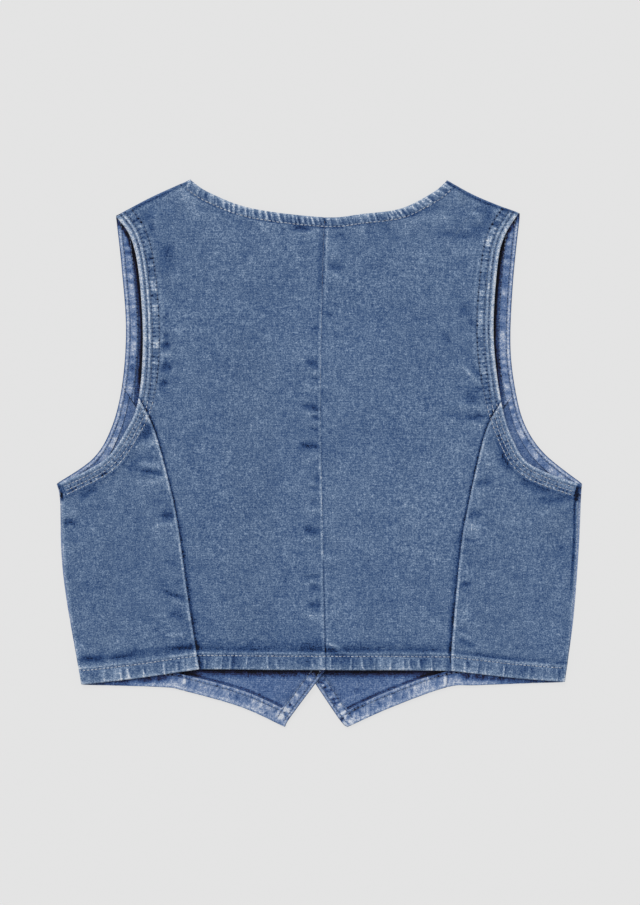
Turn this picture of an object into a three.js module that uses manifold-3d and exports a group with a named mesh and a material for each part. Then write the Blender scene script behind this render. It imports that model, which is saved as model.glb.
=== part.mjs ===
// A cropped denim vest, laid flat on its front with its back up.
// Millimetres. X runs to the right, Y towards the neck, Z up from the surface that it lies on.
// The origin is under the middle of the vest. Left and right are the wearer's, which from behind are the viewer's too.

import * as THREE from "three";
import { mergeVertices } from "three/addons/utils/BufferGeometryUtils.js";
import Module from "manifold-3d";

// Cloth and construction sizes
const CLOTH = 1.0;
const GAP = 0.3;
const LAYER = CLOTH + GAP;
const HEM_WIDTH = 12.3;
const FRONT_HEM_WIDTH = 14;
const NECK_TURN_WIDTH = 8.7;
const ARMHOLE_BAND_WIDTH = 11;
const FRONT_EDGE_WIDTH = 11;

// Closure: the right front laps under the left one as they lie here, and its outside faces the surface
const CENTRE_FRONT = -2.5;
const BUTTON_STAND = 16;
const BUTTON_COUNT = 5;
const BUTTON_SPACING = 49;
const TOP_BUTTON_Y = 24;
const BUTTON_RADIUS = 8.5;
const BUTTON_THICKNESS = 1.8;
const BUTTON_RIM = 0.4;
const SHANK_RADIUS = 1.5;
const BUTTONHOLE_LENGTH = 19;
const BUTTONHOLE_WIDTH = 4;
const BUTTONHOLE_LEAD = 3;

// How the layers lie: heights of the lifts over the closure, and where they start and end
const LIE = {
  buttonLift: BUTTON_THICKNESS + GAP,
  lapLift: 2 * LAYER,
  closureTop: 66,
  closureTopEnd: 112,
  closureBottom: -213,
  closureBottomEnd: -248,
  buttonsBottom: -182,
  buttonsBottomEnd: -228,
  edgeStack: 3 * LAYER,
  bodyDome: 3.5,
  hemDome: 4.8,
  hemDomeStart: -120,
  hemDomeFull: -180,
};

const LEFT_STAND_X = CENTRE_FRONT + BUTTON_STAND;
const RIGHT_STAND_X = CENTRE_FRONT - BUTTON_STAND;
const V_BOTTOM_Y = 34;

// Every cut edge as it lies, one row for each point that its smooth curve passes through
const EDGES = {
  backNeck: [
    { x: -118, y: 249 },
    { x: -101, y: 237.5 },
    { x: -62, y: 223 },
    { x: 4.6, y: 214.9 },
    { x: 40, y: 218 },
    { x: 75, y: 223 },
    { x: 104, y: 237.5 },
    { x: 116.5, y: 248 },
  ],
  backShoulderLeft: [
    { x: -185, y: 216 },
    { x: -153.5, y: 232.8 },
    { x: -118, y: 249 },
  ],
  backShoulderRight: [
    { x: 116.5, y: 248 },
    { x: 144.5, y: 233.2 },
    { x: 181.5, y: 219.3 },
  ],
  backArmholeLeft: [
    { x: -185, y: 216 },
    { x: -172, y: 197.5 },
    { x: -164.3, y: 164.3 },
    { x: -160.5, y: 104 },
    { x: -164.5, y: 49.5 },
    { x: -176, y: 20.3 },
    { x: -197, y: -7.4 },
    { x: -239, y: -29 },
  ],
  backArmholeRight: [
    { x: 181.5, y: 219.3 },
    { x: 168.5, y: 198 },
    { x: 162, y: 170 },
    { x: 158.5, y: 107 },
    { x: 165.6, y: 46 },
    { x: 177, y: 10 },
    { x: 194, y: -12 },
    { x: 239, y: -29.4 },
  ],
  backPrincessLeft: [
    { x: -164.5, y: 49.5 },
    { x: -150.8, y: 20.3 },
    { x: -138.5, y: -23.5 },
    { x: -129.8, y: -64.5 },
    { x: -119, y: -142 },
    { x: -110, y: -197 },
  ],
  backPrincessRight: [
    { x: 165.6, y: 46 },
    { x: 151.5, y: 17.4 },
    { x: 136.2, y: -48 },
    { x: 129, y: -91.5 },
    { x: 121.8, y: -169 },
    { x: 120.3, y: -198.4 },
  ],
  centreBack: [
    { x: 4.6, y: 214.9 },
    { x: 1.4, y: 97.8 },
    { x: 1.4, y: 11.2 },
    { x: 4.4, y: -123.8 },
    { x: 6.2, y: -197.2 },
  ],
  backSideLeft: [
    { x: -239, y: -29 },
    { x: -235.5, y: -43.6 },
    { x: -234.3, y: -91 },
    { x: -229.5, y: -134.7 },
    { x: -217.3, y: -211 },
  ],
  backSideRight: [
    { x: 239, y: -29.4 },
    { x: 236, y: -43.6 },
    { x: 235.3, y: -84 },
    { x: 230.8, y: -149 },
    { x: 224, y: -208.5 },
  ],
  backHemLeft: [
    { x: -217.3, y: -211 },
    { x: -171, y: -205.8 },
    { x: -110, y: -197 },
  ],
  backHemRight: [
    { x: 120.3, y: -198.4 },
    { x: 180.3, y: -205.2 },
    { x: 224, y: -208.5 },
  ],
  frontShoulderLeft: [
    { x: -185.5, y: 217 },
    { x: -153.5, y: 234 },
    { x: -118, y: 250 },
  ],
  frontShoulderRight: [
    { x: 117, y: 249.2 },
    { x: 144.5, y: 234.4 },
    { x: 183, y: 219 },
  ],
  frontArmholeLeft: [
    { x: -185.5, y: 217 },
    { x: -180.5, y: 172 },
    { x: -176.3, y: 114 },
    { x: -180, y: 61.3 },
    { x: -190, y: 22 },
    { x: -207, y: -5.8 },
    { x: -240, y: -28.5 },
  ],
  frontArmholeRight: [
    { x: 183, y: 219 },
    { x: 176.6, y: 157 },
    { x: 174.2, y: 98.7 },
    { x: 178.9, y: 56.8 },
    { x: 187.8, y: 25 },
    { x: 206, y: -1.5 },
    { x: 240, y: -28.5 },
  ],
  frontPrincessLeft: [
    { x: -180, y: 61.3 },
    { x: -152, y: 15 },
    { x: -133, y: -45 },
    { x: -124, y: -120 },
    { x: -123, y: -217.2 },
  ],
  frontPrincessRight: [
    { x: 178.9, y: 56.8 },
    { x: 150, y: 12 },
    { x: 130, y: -45 },
    { x: 119.5, y: -120 },
    { x: 116.5, y: -213.8 },
  ],
  frontSideLeft: [
    { x: -240, y: -28.5 },
    { x: -237, y: -43.6 },
    { x: -235.8, y: -91 },
    { x: -231, y: -134.7 },
    { x: -217.6, y: -211.5 },
  ],
  frontSideRight: [
    { x: 240, y: -28.5 },
    { x: 239, y: -43.6 },
    { x: 237.3, y: -84 },
    { x: 232.4, y: -149 },
    { x: 224.5, y: -209 },
  ],
  frontHemLeft: [
    { x: -217.6, y: -211.5 },
    { x: -144.7, y: -213.6 },
    { x: -123, y: -217.2 },
    { x: -71, y: -232 },
    { x: -31.7, y: -250 },
  ],
  frontHemRight: [
    { x: 25.8, y: -250 },
    { x: 66, y: -232 },
    { x: 116.5, y: -213.8 },
    { x: 147, y: -211.8 },
    { x: 224.5, y: -209 },
  ],
  frontNeckLeft: [
    { x: -118, y: 250 },
    { x: -93, y: 190 },
    { x: -45, y: 108 },
    { x: LEFT_STAND_X, y: V_BOTTOM_Y },
  ],
  frontNeckRight: [
    { x: 117, y: 249.2 },
    { x: 90, y: 190 },
    { x: 40, y: 108 },
    { x: RIGHT_STAND_X, y: V_BOTTOM_Y },
  ],
  frontEdgeLeft: [
    { x: LEFT_STAND_X, y: V_BOTTOM_Y },
    { x: LEFT_STAND_X, y: -186.7 },
  ],
  frontEdgeRight: [
    { x: RIGHT_STAND_X, y: V_BOTTOM_Y },
    { x: RIGHT_STAND_X, y: -187.4 },
  ],
  frontPointLeft: [
    { x: LEFT_STAND_X, y: -186.7 },
    { x: -25.8, y: -239.6 },
    { x: -31.7, y: -250 },
  ],
  frontPointRight: [
    { x: RIGHT_STAND_X, y: -187.4 },
    { x: 17.5, y: -241.4 },
    { x: 25.8, y: -250 },
  ],
};

// 0 up to the start, 1 from the end on, and a smooth rise between
function rise(value, start, end) {
  return THREE.MathUtils.smoothstep((value - start) / (end - start), 0, 1);
}

// The height of the right front's underside: flat on the surface, and lifted over the buttons
function rightFrontHeight(x, y) {
  const across = rise(x, -90, -40) * rise(x, 88, 36);
  const down = rise(y, LIE.closureTopEnd, LIE.closureTop) * rise(y, LIE.buttonsBottomEnd, LIE.buttonsBottom);
  return LIE.buttonLift * across * down;
}

// The left front's underside: as the right one's, and lifted again over the right one's turned edge
function leftFrontHeight(x, y) {
  const down = rise(y, LIE.closureTopEnd, LIE.closureTop) * rise(y, LIE.closureBottomEnd, LIE.closureBottom);
  return rightFrontHeight(x, y) + LIE.lapLift * rise(x, -82, -34) * down;
}

// The back's underside: over the front's turned edges, domed over the closure, and down to the front at the seams
function backHeight(x, y) {
  const dome = THREE.MathUtils.lerp(LIE.bodyDome, LIE.hemDome, rise(y, LIE.hemDomeStart, LIE.hemDomeFull));
  const overClosure = rise(x, -92, -34) * rise(x, 74, 18) * rise(y, LIE.closureTopEnd + 30, LIE.closureTop + 10);
  const atSide = rise(Math.abs(x), 185, 232) * rise(y, -45, -85) * rise(y, -196, -156);
  const shoulderMiddle = rise(Math.abs(x), 124, 140) * rise(Math.abs(x), 176, 162);
  const atShoulder = shoulderMiddle * rise(y, 212, 232);
  return LIE.edgeStack + dome * overClosure - 2 * LAYER * Math.max(atSide, atShoulder);
}

// The smooth curve through an edge's rows, cut into cells from one row to another.
// A first or last cell may have its own length, which makes room for a turned edge.
function run(rows, cells, { from = 0, to = rows.length - 1, first = 0, last = 0 } = {}) {
  const curve = new THREE.SplineCurve(rows.map(({ x, y }) => new THREE.Vector2(x, y)));
  const steps = 400;
  const line = Array.from({ length: steps + 1 }, (_, k) =>
    curve.getPoint(THREE.MathUtils.lerp(from, to, k / steps) / (rows.length - 1)),
  );
  const lengths = line.reduce((sums, point, k) => {
    sums.push(k ? sums[k - 1] + point.distanceTo(line[k - 1]) : 0);
    return sums;
  }, []);
  const total = lengths[steps];
  const inner = cells - (first ? 1 : 0) - (last ? 1 : 0);
  const stops = [0];
  if (first) stops.push(first);
  for (let k = 1; k <= inner; k++) stops.push(first + ((total - first - last) * k) / inner);
  if (last) stops.push(total);
  return stops.map((stop) => {
    const after = Math.max(1, lengths.findIndex((length) => length >= Math.min(stop, total) - 1e-9));
    const share = (stop - lengths[after - 1]) / (lengths[after] - lengths[after - 1]);
    return line[after - 1].clone().lerp(line[after], THREE.MathUtils.clamp(share, 0, 1));
  });
}

// Runs that follow each other as one edge
function joined(...runs) {
  return runs.reduce((edge, next) => [...edge, ...next.slice(1)]);
}

// An edge moved sideways by half a seam's gap
function beside(edge, side) {
  return edge.map(({ x, y }) => new THREE.Vector2(x + (side * GAP) / 2, y));
}

// How far along an edge each of its points lies, from 0 to 1
function shares(edge) {
  let sum = 0;
  const sums = edge.map((point, k) => (sum += k ? point.distanceTo(edge[k - 1]) : 0));
  return sums.map((length) => length / sum);
}

// A grid of points between four edges: rows from the top edge to the bottom one, columns from left to right.
// A width given for an edge is that of the cells beside it, which a turned edge covers.
function patch({ top, bottom, left, right }, widths) {
  const columns = top.length - 1;
  const rows = left.length - 1;
  if (bottom.length - 1 !== columns || right.length - 1 !== rows) throw new Error("facing edges need equal cells");
  const [topShares, bottomShares, leftShares, rightShares] = [top, bottom, left, right].map(shares);
  const grid = left.map((leftPoint, row) =>
    top.map((topPoint, column) => {
      const u = THREE.MathUtils.lerp(topShares[column], bottomShares[column], row / rows);
      const v = THREE.MathUtils.lerp(leftShares[row], rightShares[row], column / columns);
      const point = new THREE.Vector2()
        .addScaledVector(topPoint, 1 - v)
        .addScaledVector(bottom[column], v)
        .addScaledVector(leftPoint, 1 - u)
        .addScaledVector(right[row], u);
      return point
        .addScaledVector(top[0], -(1 - u) * (1 - v))
        .addScaledVector(top[columns], -u * (1 - v))
        .addScaledVector(bottom[0], -(1 - u) * v)
        .addScaledVector(bottom[columns], -u * v);
    }),
  );
  const inFrom = (edge, next, width) => edge.clone().add(next.clone().sub(edge).setLength(width));
  for (let row = 1; row < rows; row++) {
    const line = grid[row];
    if (widths.left) line[1] = inFrom(line[0], line[2], widths.left);
    if (widths.right) line[columns - 1] = inFrom(line[columns], line[columns - 2], widths.right);
  }
  for (let column = 1; column < columns; column++) {
    if (widths.top) grid[1][column] = inFrom(grid[0][column], grid[2][column], widths.top);
    grid[rows - 1][column] = inFrom(grid[rows][column], grid[rows - 2][column], widths.bottom);
  }
  return grid;
}

// A wall of cloth on a grid of points, closed all round, with its underside at the given height
function wallGeometry(grid, height, lift = 0) {
  const rows = grid.length - 1;
  const columns = grid[0].length - 1;
  const positions = [];
  for (const level of [lift + CLOTH, lift]) {
    for (const line of grid) for (const { x, y } of line) positions.push(x, y, height(x, y) + level);
  }
  const upper = (row, column) => row * (columns + 1) + column;
  const lower = (row, column) => upper(row, column) + (rows + 1) * (columns + 1);
  const triangles = [];
  const quad = (a, b, c, d) => triangles.push(a, b, c, a, c, d);
  for (let row = 0; row < rows; row++) {
    for (let column = 0; column < columns; column++) {
      const corners = [
        [row, column],
        [row + 1, column],
        [row + 1, column + 1],
        [row, column + 1],
      ];
      quad(...corners.map((corner) => upper(...corner)));
      quad(...corners.reverse().map((corner) => lower(...corner)));
    }
  }
  for (let column = 0; column < columns; column++) {
    quad(upper(0, column), upper(0, column + 1), lower(0, column + 1), lower(0, column));
    quad(upper(rows, column + 1), upper(rows, column), lower(rows, column), lower(rows, column + 1));
  }
  for (let row = 0; row < rows; row++) {
    quad(upper(row + 1, 0), upper(row, 0), lower(row, 0), lower(row + 1, 0));
    quad(upper(row, columns), upper(row + 1, columns), lower(row + 1, columns), lower(row, columns));
  }
  return new THREE.BufferGeometry()
    .setAttribute("position", new THREE.BufferAttribute(new Float32Array(positions), 3))
    .setIndex(triangles);
}

// The part of a grid that a turned edge covers
function cells(grid, [firstRow, lastRow], [firstColumn, lastColumn]) {
  return grid.slice(firstRow, lastRow + 1).map((line) => line.slice(firstColumn, lastColumn + 1));
}

const vest = new THREE.Group();

function denim(color) {
  return new THREE.MeshStandardMaterial({ color, roughness: 0.92, metalness: 0 });
}
const outsideDenim = denim(0x586e8e);
const insideDenim = denim(0x6a7da8);
const buttonMetal = new THREE.MeshStandardMaterial({ color: 0x8d8a84, roughness: 0.38, metalness: 0.9 });

function add(name, geometry, material) {
  const mesh = new THREE.Mesh(geometry, material);
  mesh.name = name;
  vest.add(mesh);
  return mesh;
}

// Back: two centre panels and two side panels, with their turned neck, armhole and hem under them
const BACK_TURN = -LAYER;

function backCentre(side) {
  const left = side === "left";
  const armhole = EDGES[left ? "backArmholeLeft" : "backArmholeRight"];
  const princess = EDGES[left ? "backPrincessLeft" : "backPrincessRight"];
  const shoulder = EDGES[left ? "backShoulderLeft" : "backShoulderRight"];
  const princessRow = 4;
  const neckRow = 3;
  const outer = joined(
    run(armhole, 8, { to: princessRow, first: NECK_TURN_WIDTH }),
    beside(run(princess, 10, { first: ARMHOLE_BAND_WIDTH, last: HEM_WIDTH }), left ? 1 : -1),
  );
  const centre = beside(run(EDGES.centreBack, 18, { first: NECK_TURN_WIDTH, last: HEM_WIDTH }), left ? -1 : 1);
  const neck = left ? run(EDGES.backNeck, 6, { to: neckRow }) : run(EDGES.backNeck, 6, { from: neckRow });
  const hem = (rows) => run(rows, 10, { [left ? "first" : "last"]: ARMHOLE_BAND_WIDTH });
  const widths = { top: NECK_TURN_WIDTH, bottom: HEM_WIDTH, [left ? "left" : "right"]: ARMHOLE_BAND_WIDTH };
  const edges = left
    ? {
        top: joined(run(shoulder, 4, { first: ARMHOLE_BAND_WIDTH }), neck),
        bottom: hem([outer.at(-1), centre.at(-1)]),
        left: outer,
        right: centre,
      }
    : {
        top: joined(neck, run(shoulder, 4, { last: ARMHOLE_BAND_WIDTH })),
        bottom: hem([centre.at(-1), outer.at(-1)]),
        left: centre,
        right: outer,
      };
  const grid = patch(edges, widths);
  add(`back_centre_${side}`, wallGeometry(grid, backHeight), outsideDenim);
  const neckCells = cells(grid, [0, 1], left ? [4, 10] : [0, 6]);
  const armholeCells = cells(grid, [1, 8], left ? [0, 1] : [9, 10]);
  const hemCells = cells(grid, [17, 18], [0, 10]);
  add(`back_neck_turning_${side}`, wallGeometry(neckCells, backHeight, BACK_TURN), insideDenim);
  add(`back_armhole_facing_upper_${side}`, wallGeometry(armholeCells, backHeight, BACK_TURN), insideDenim);
  add(`back_hem_centre_${side}`, wallGeometry(hemCells, backHeight, BACK_TURN), insideDenim);
}

function backSide(side) {
  const left = side === "left";
  const armhole = EDGES[left ? "backArmholeLeft" : "backArmholeRight"];
  const princess = EDGES[left ? "backPrincessLeft" : "backPrincessRight"];
  const princessRow = 4;
  const inner = beside(run(princess, 10, { first: ARMHOLE_BAND_WIDTH, last: HEM_WIDTH }), left ? -1 : 1);
  const outer = run(EDGES[left ? "backSideLeft" : "backSideRight"], 10, {
    first: ARMHOLE_BAND_WIDTH,
    last: HEM_WIDTH,
  });
  const band = run(armhole, 7, { from: princessRow });
  band[0] = inner[0];
  const hem = run(EDGES[left ? "backHemLeft" : "backHemRight"], 7);
  hem[left ? 7 : 0] = inner.at(-1);
  const edges = left
    ? { top: band.reverse(), bottom: hem, left: outer, right: inner }
    : { top: band, bottom: hem, left: inner, right: outer };
  const grid = patch(edges, { top: ARMHOLE_BAND_WIDTH, bottom: HEM_WIDTH });
  add(`back_side_${side}`, wallGeometry(grid, backHeight), outsideDenim);
  const armholeCells = cells(grid, [0, 1], [0, 7]);
  const hemCells = cells(grid, [9, 10], [0, 7]);
  add(`back_armhole_facing_lower_${side}`, wallGeometry(armholeCells, backHeight, BACK_TURN), insideDenim);
  add(`back_hem_side_${side}`, wallGeometry(hemCells, backHeight, BACK_TURN), insideDenim);
}

// Fronts: a centre and a side panel each, with their turned edges on top of them, on the garment's inside
const FRONT_TURN = LAYER;

function frontCentre(side, height) {
  const left = side === "left";
  const rowsOf = (name) => EDGES[name + (left ? "Left" : "Right")];
  const princessRow = 3;
  const outer = joined(
    run(rowsOf("frontArmhole"), 7, { to: princessRow }),
    beside(
      run(rowsOf("frontPrincess"), 13, { first: ARMHOLE_BAND_WIDTH, last: FRONT_HEM_WIDTH }),
      left ? 1 : -1,
    ),
  );
  const edge = joined(
    run(rowsOf("frontNeck"), 8),
    run(rowsOf("frontEdge"), 8),
    run(rowsOf("frontPoint"), 4, { last: FRONT_HEM_WIDTH }),
  );
  const bandWidths = left
    ? { first: ARMHOLE_BAND_WIDTH, last: FRONT_EDGE_WIDTH }
    : { first: FRONT_EDGE_WIDTH, last: ARMHOLE_BAND_WIDTH };
  const shoulder = run(rowsOf("frontShoulder"), 10, bandWidths);
  const hem = left
    ? run(EDGES.frontHemLeft, 10, { from: 2, ...bandWidths })
    : run(EDGES.frontHemRight, 10, { to: 2, ...bandWidths });
  hem[left ? 0 : 10] = outer.at(-1);
  const widths = {
    left: left ? ARMHOLE_BAND_WIDTH : FRONT_EDGE_WIDTH,
    right: left ? FRONT_EDGE_WIDTH : ARMHOLE_BAND_WIDTH,
    bottom: FRONT_HEM_WIDTH,
  };
  const edges = {
    top: shoulder,
    bottom: hem,
    left: left ? outer : edge,
    right: left ? edge : outer,
  };
  const grid = patch(edges, widths);
  const panel = wallGeometry(grid, height);
  add(`front_centre_${side}`, left ? panel : withButtonholes(panel), outsideDenim);
  const armholeCells = cells(grid, [0, 7], left ? [0, 1] : [9, 10]);
  const edgeCells = cells(grid, [0, 20], left ? [9, 10] : [0, 1]);
  const hemCells = cells(grid, [19, 20], left ? [0, 9] : [1, 10]);
  add(`front_armhole_facing_upper_${side}`, wallGeometry(armholeCells, height, FRONT_TURN), insideDenim);
  add(`front_edge_turning_${side}`, wallGeometry(edgeCells, height, FRONT_TURN), insideDenim);
  add(`front_hem_centre_${side}`, wallGeometry(gapped(hemCells, left), height, FRONT_TURN), insideDenim);
}

// The hem band's end next to the front edge's band, moved back by the gap
function gapped(grid, left) {
  const end = left ? grid[0].length - 1 : 0;
  return grid.map((line) =>
    line.map((point, column) => {
      if (column !== end) return point;
      const next = line[left ? end - 1 : 1];
      return point.clone().add(next.clone().sub(point).setLength(GAP));
    }),
  );
}

function frontSide(side, height) {
  const left = side === "left";
  const rowsOf = (name) => EDGES[name + (left ? "Left" : "Right")];
  const princessRow = 3;
  const inner = beside(
    run(rowsOf("frontPrincess"), 13, { first: ARMHOLE_BAND_WIDTH, last: FRONT_HEM_WIDTH }),
    left ? -1 : 1,
  );
  const outer = run(rowsOf("frontSide"), 13, { first: ARMHOLE_BAND_WIDTH, last: FRONT_HEM_WIDTH });
  const band = run(rowsOf("frontArmhole"), 6, { from: princessRow });
  band[0] = inner[0];
  const hem = left ? run(EDGES.frontHemLeft, 6, { to: 2 }) : run(EDGES.frontHemRight, 6, { from: 2 });
  hem[left ? 6 : 0] = inner.at(-1);
  const edges = left
    ? { top: band.reverse(), bottom: hem, left: outer, right: inner }
    : { top: band, bottom: hem, left: inner, right: outer };
  const grid = patch(edges, { top: ARMHOLE_BAND_WIDTH, bottom: FRONT_HEM_WIDTH });
  add(`front_side_${side}`, wallGeometry(grid, height), outsideDenim);
  const armholeCells = cells(grid, [0, 1], [0, 6]);
  const hemCells = cells(grid, [12, 13], [0, 6]);
  add(`front_armhole_facing_lower_${side}`, wallGeometry(armholeCells, height, FRONT_TURN), insideDenim);
  add(`front_hem_side_${side}`, wallGeometry(hemCells, height, FRONT_TURN), insideDenim);
}

// Buttons and their holes
const wasm = await Module();
wasm.setup();

function solidOf(geometry) {
  const bare = geometry.clone();
  bare.deleteAttribute("normal");
  bare.deleteAttribute("uv");
  const merged = mergeVertices(bare, 1e-3);
  return new wasm.Manifold(
    new wasm.Mesh({
      numProp: 3,
      vertProperties: merged.attributes.position.array,
      triVerts: new Uint32Array(merged.index.array),
    }),
  );
}

function geometryOf(solid) {
  const { vertProperties, triVerts } = solid.getMesh();
  return new THREE.BufferGeometry()
    .setAttribute("position", new THREE.BufferAttribute(vertProperties, 3))
    .setIndex(new THREE.BufferAttribute(triVerts, 1));
}

const buttonPlaces = Array.from({ length: BUTTON_COUNT }, (_, k) => TOP_BUTTON_Y - k * BUTTON_SPACING);

// The right front with a round-ended slot at each button, reaching inwards from just past the shank
function withButtonholes(panel) {
  const end = BUTTONHOLE_WIDTH / 2;
  const outerEnd = CENTRE_FRONT - BUTTONHOLE_LEAD + end;
  const innerEnd = CENTRE_FRONT - BUTTONHOLE_LEAD + BUTTONHOLE_LENGTH - end;
  const outline = new THREE.Shape()
    .absarc(innerEnd, 0, end, -Math.PI / 2, Math.PI / 2)
    .absarc(outerEnd, 0, end, Math.PI / 2, (3 * Math.PI) / 2);
  const depth = 20;
  let solid = solidOf(panel);
  for (const y of buttonPlaces) {
    const slot = new THREE.ExtrudeGeometry(outline, { depth, bevelEnabled: false, curveSegments: 4 });
    solid = solid.subtract(solidOf(slot.translate(0, y, -depth / 2)));
  }
  return geometryOf(solid);
}

// A button lies face down, and its thread shank goes up through the hole to the left front's underside
function button(number, y) {
  const shankTop = leftFrontHeight(CENTRE_FRONT, y) - GAP;
  const profile = [
    [0, 0],
    [BUTTON_RADIUS - BUTTON_RIM, 0],
    [BUTTON_RADIUS, BUTTON_RIM],
    [BUTTON_RADIUS, BUTTON_THICKNESS - BUTTON_RIM],
    [BUTTON_RADIUS - BUTTON_RIM, BUTTON_THICKNESS],
    [SHANK_RADIUS, BUTTON_THICKNESS],
    [SHANK_RADIUS, shankTop],
    [0, shankTop],
  ].map(([radius, z]) => new THREE.Vector2(radius, z));
  const mesh = add(`button_${number}`, new THREE.LatheGeometry(profile, 20).rotateX(Math.PI / 2), buttonMetal);
  mesh.position.set(CENTRE_FRONT, y, 0);
}

for (const side of ["left", "right"]) {
  const frontHeight = side === "left" ? leftFrontHeight : rightFrontHeight;
  backCentre(side);
  backSide(side);
  frontCentre(side, frontHeight);
  frontSide(side, frontHeight);
}
buttonPlaces.forEach((y, k) => button(k + 1, y));

export default vest;
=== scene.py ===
"""A cropped denim vest, laid flat on its front with its back up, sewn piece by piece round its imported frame.

Cloth is worked out in millimetres and handed to Blender in metres. X runs to the right, Y towards the
neck and Z up. Left and right are the wearer's, which from behind are the viewer's too.
"""

import math

import bmesh
import bpy
import numpy as np
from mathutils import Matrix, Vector, bvhtree


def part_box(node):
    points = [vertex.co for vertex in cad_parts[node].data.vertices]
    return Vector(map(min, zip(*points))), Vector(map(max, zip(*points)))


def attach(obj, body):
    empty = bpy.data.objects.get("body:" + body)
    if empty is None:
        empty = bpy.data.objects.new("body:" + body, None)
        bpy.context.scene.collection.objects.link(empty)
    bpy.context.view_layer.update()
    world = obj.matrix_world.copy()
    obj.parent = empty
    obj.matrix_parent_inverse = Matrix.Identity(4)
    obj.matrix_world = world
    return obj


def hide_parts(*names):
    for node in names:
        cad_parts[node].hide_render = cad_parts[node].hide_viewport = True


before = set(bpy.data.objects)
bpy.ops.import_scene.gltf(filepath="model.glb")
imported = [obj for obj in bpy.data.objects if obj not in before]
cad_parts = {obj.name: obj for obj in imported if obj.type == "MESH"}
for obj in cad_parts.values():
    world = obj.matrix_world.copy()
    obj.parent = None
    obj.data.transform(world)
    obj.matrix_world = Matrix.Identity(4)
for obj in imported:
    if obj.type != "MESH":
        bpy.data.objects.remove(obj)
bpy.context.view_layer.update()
MM = 0.001

# Cloth and construction sizes, in millimetres, as in the frame
CLOTH = 1.0
GAP = 0.3
LAYER = CLOTH + GAP
HEM_WIDTH = 12.3
FRONT_HEM_WIDTH = 14.0
NECK_TURN_WIDTH = 8.7
ARMHOLE_FACING_WIDTH = 11.0
FRONT_EDGE_WIDTH = 11.0

# The closure, hidden underneath
CENTRE_FRONT = -2.5
BUTTON_STAND = 16.0
BUTTON_THICKNESS = 1.8
LEFT_STAND_X = CENTRE_FRONT + BUTTON_STAND
RIGHT_STAND_X = CENTRE_FRONT - BUTTON_STAND
V_BOTTOM_Y = 34.0
BUTTONHOLE_LENGTH = 19.0
BUTTONHOLE_LEAD = 3.0
BUTTONHOLE_SLIT = 2.4

# Every cut edge as it lies: the points that its smooth curve passes through
EDGES = {
    "back_neck": [(-118, 249), (-101, 237.5), (-62, 223), (4.6, 214.9),
                  (40, 218), (75, 223), (104, 237.5), (116.5, 248)],
    "back_shoulder_left": [(-185, 216), (-153.5, 232.8), (-118, 249)],
    "back_shoulder_right": [(116.5, 248), (144.5, 233.2), (181.5, 219.3)],
    "back_armhole_left": [(-185, 216), (-172, 197.5), (-164.3, 164.3), (-160.5, 104),
                          (-164.5, 49.5), (-176, 20.3), (-197, -7.4), (-239, -29)],
    "back_armhole_right": [(181.5, 219.3), (168.5, 198), (162, 170), (158.5, 107),
                           (165.6, 46), (177, 10), (194, -12), (239, -29.4)],
    "back_princess_left": [(-164.5, 49.5), (-150.8, 20.3), (-138.5, -23.5),
                           (-129.8, -64.5), (-119, -142), (-110, -197)],
    "back_princess_right": [(165.6, 46), (151.5, 17.4), (136.2, -48),
                            (129, -91.5), (121.8, -169), (120.3, -198.4)],
    "centre_back": [(4.6, 214.9), (1.4, 97.8), (1.4, 11.2), (4.4, -123.8), (6.2, -197.2)],
    "back_side_left": [(-239, -29), (-235.5, -43.6), (-234.3, -91), (-229.5, -134.7), (-217.3, -211)],
    "back_side_right": [(239, -29.4), (236, -43.6), (235.3, -84), (230.8, -149), (224, -208.5)],
    "back_hem_left": [(-217.3, -211), (-171, -205.8), (-110, -197)],
    "back_hem_right": [(120.3, -198.4), (180.3, -205.2), (224, -208.5)],
    "front_shoulder_left": [(-185.5, 217), (-153.5, 234), (-118, 250)],
    "front_shoulder_right": [(117, 249.2), (144.5, 234.4), (183, 219)],
    "front_armhole_left": [(-185.5, 217), (-180.5, 172), (-176.3, 114), (-180, 61.3),
                           (-190, 22), (-207, -5.8), (-240, -28.5)],
    "front_armhole_right": [(183, 219), (176.6, 157), (174.2, 98.7), (178.9, 56.8),
                            (187.8, 25), (206, -1.5), (240, -28.5)],
    "front_princess_left": [(-180, 61.3), (-152, 15), (-133, -45), (-124, -120), (-123, -217.2)],
    "front_princess_right": [(178.9, 56.8), (150, 12), (130, -45), (119.5, -120), (116.5, -213.8)],
    "front_side_left": [(-240, -28.5), (-237, -43.6), (-235.8, -91), (-231, -134.7), (-217.6, -211.5)],
    "front_side_right": [(240, -28.5), (239, -43.6), (237.3, -84), (232.4, -149), (224.5, -209)],
    "front_hem_left": [(-217.6, -211.5), (-144.7, -213.6), (-123, -217.2), (-71, -232), (-31.7, -250)],
    "front_hem_right": [(25.8, -250), (66, -232), (116.5, -213.8), (147, -211.8), (224.5, -209)],
    "front_neck_left": [(-118, 250), (-93, 190), (-45, 108), (LEFT_STAND_X, V_BOTTOM_Y)],
    "front_neck_right": [(117, 249.2), (90, 190), (40, 108), (RIGHT_STAND_X, V_BOTTOM_Y)],
    "front_edge_left": [(LEFT_STAND_X, V_BOTTOM_Y), (LEFT_STAND_X, -186.7)],
    "front_edge_right": [(RIGHT_STAND_X, V_BOTTOM_Y), (RIGHT_STAND_X, -187.4)],
    "front_point_left": [(LEFT_STAND_X, -186.7), (-25.8, -239.6), (-31.7, -250)],
    "front_point_right": [(RIGHT_STAND_X, -187.4), (17.5, -241.4), (25.8, -250)],
}
# The row of each armhole at which the princess seam starts
BACK_PRINCESS_ROW = 4
FRONT_PRINCESS_ROW = 3
BACK_NECK_CENTRE_ROW = 3


# Edges and grids

# How many points are measured from a line in one go
AT_ONCE = 4096


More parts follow.
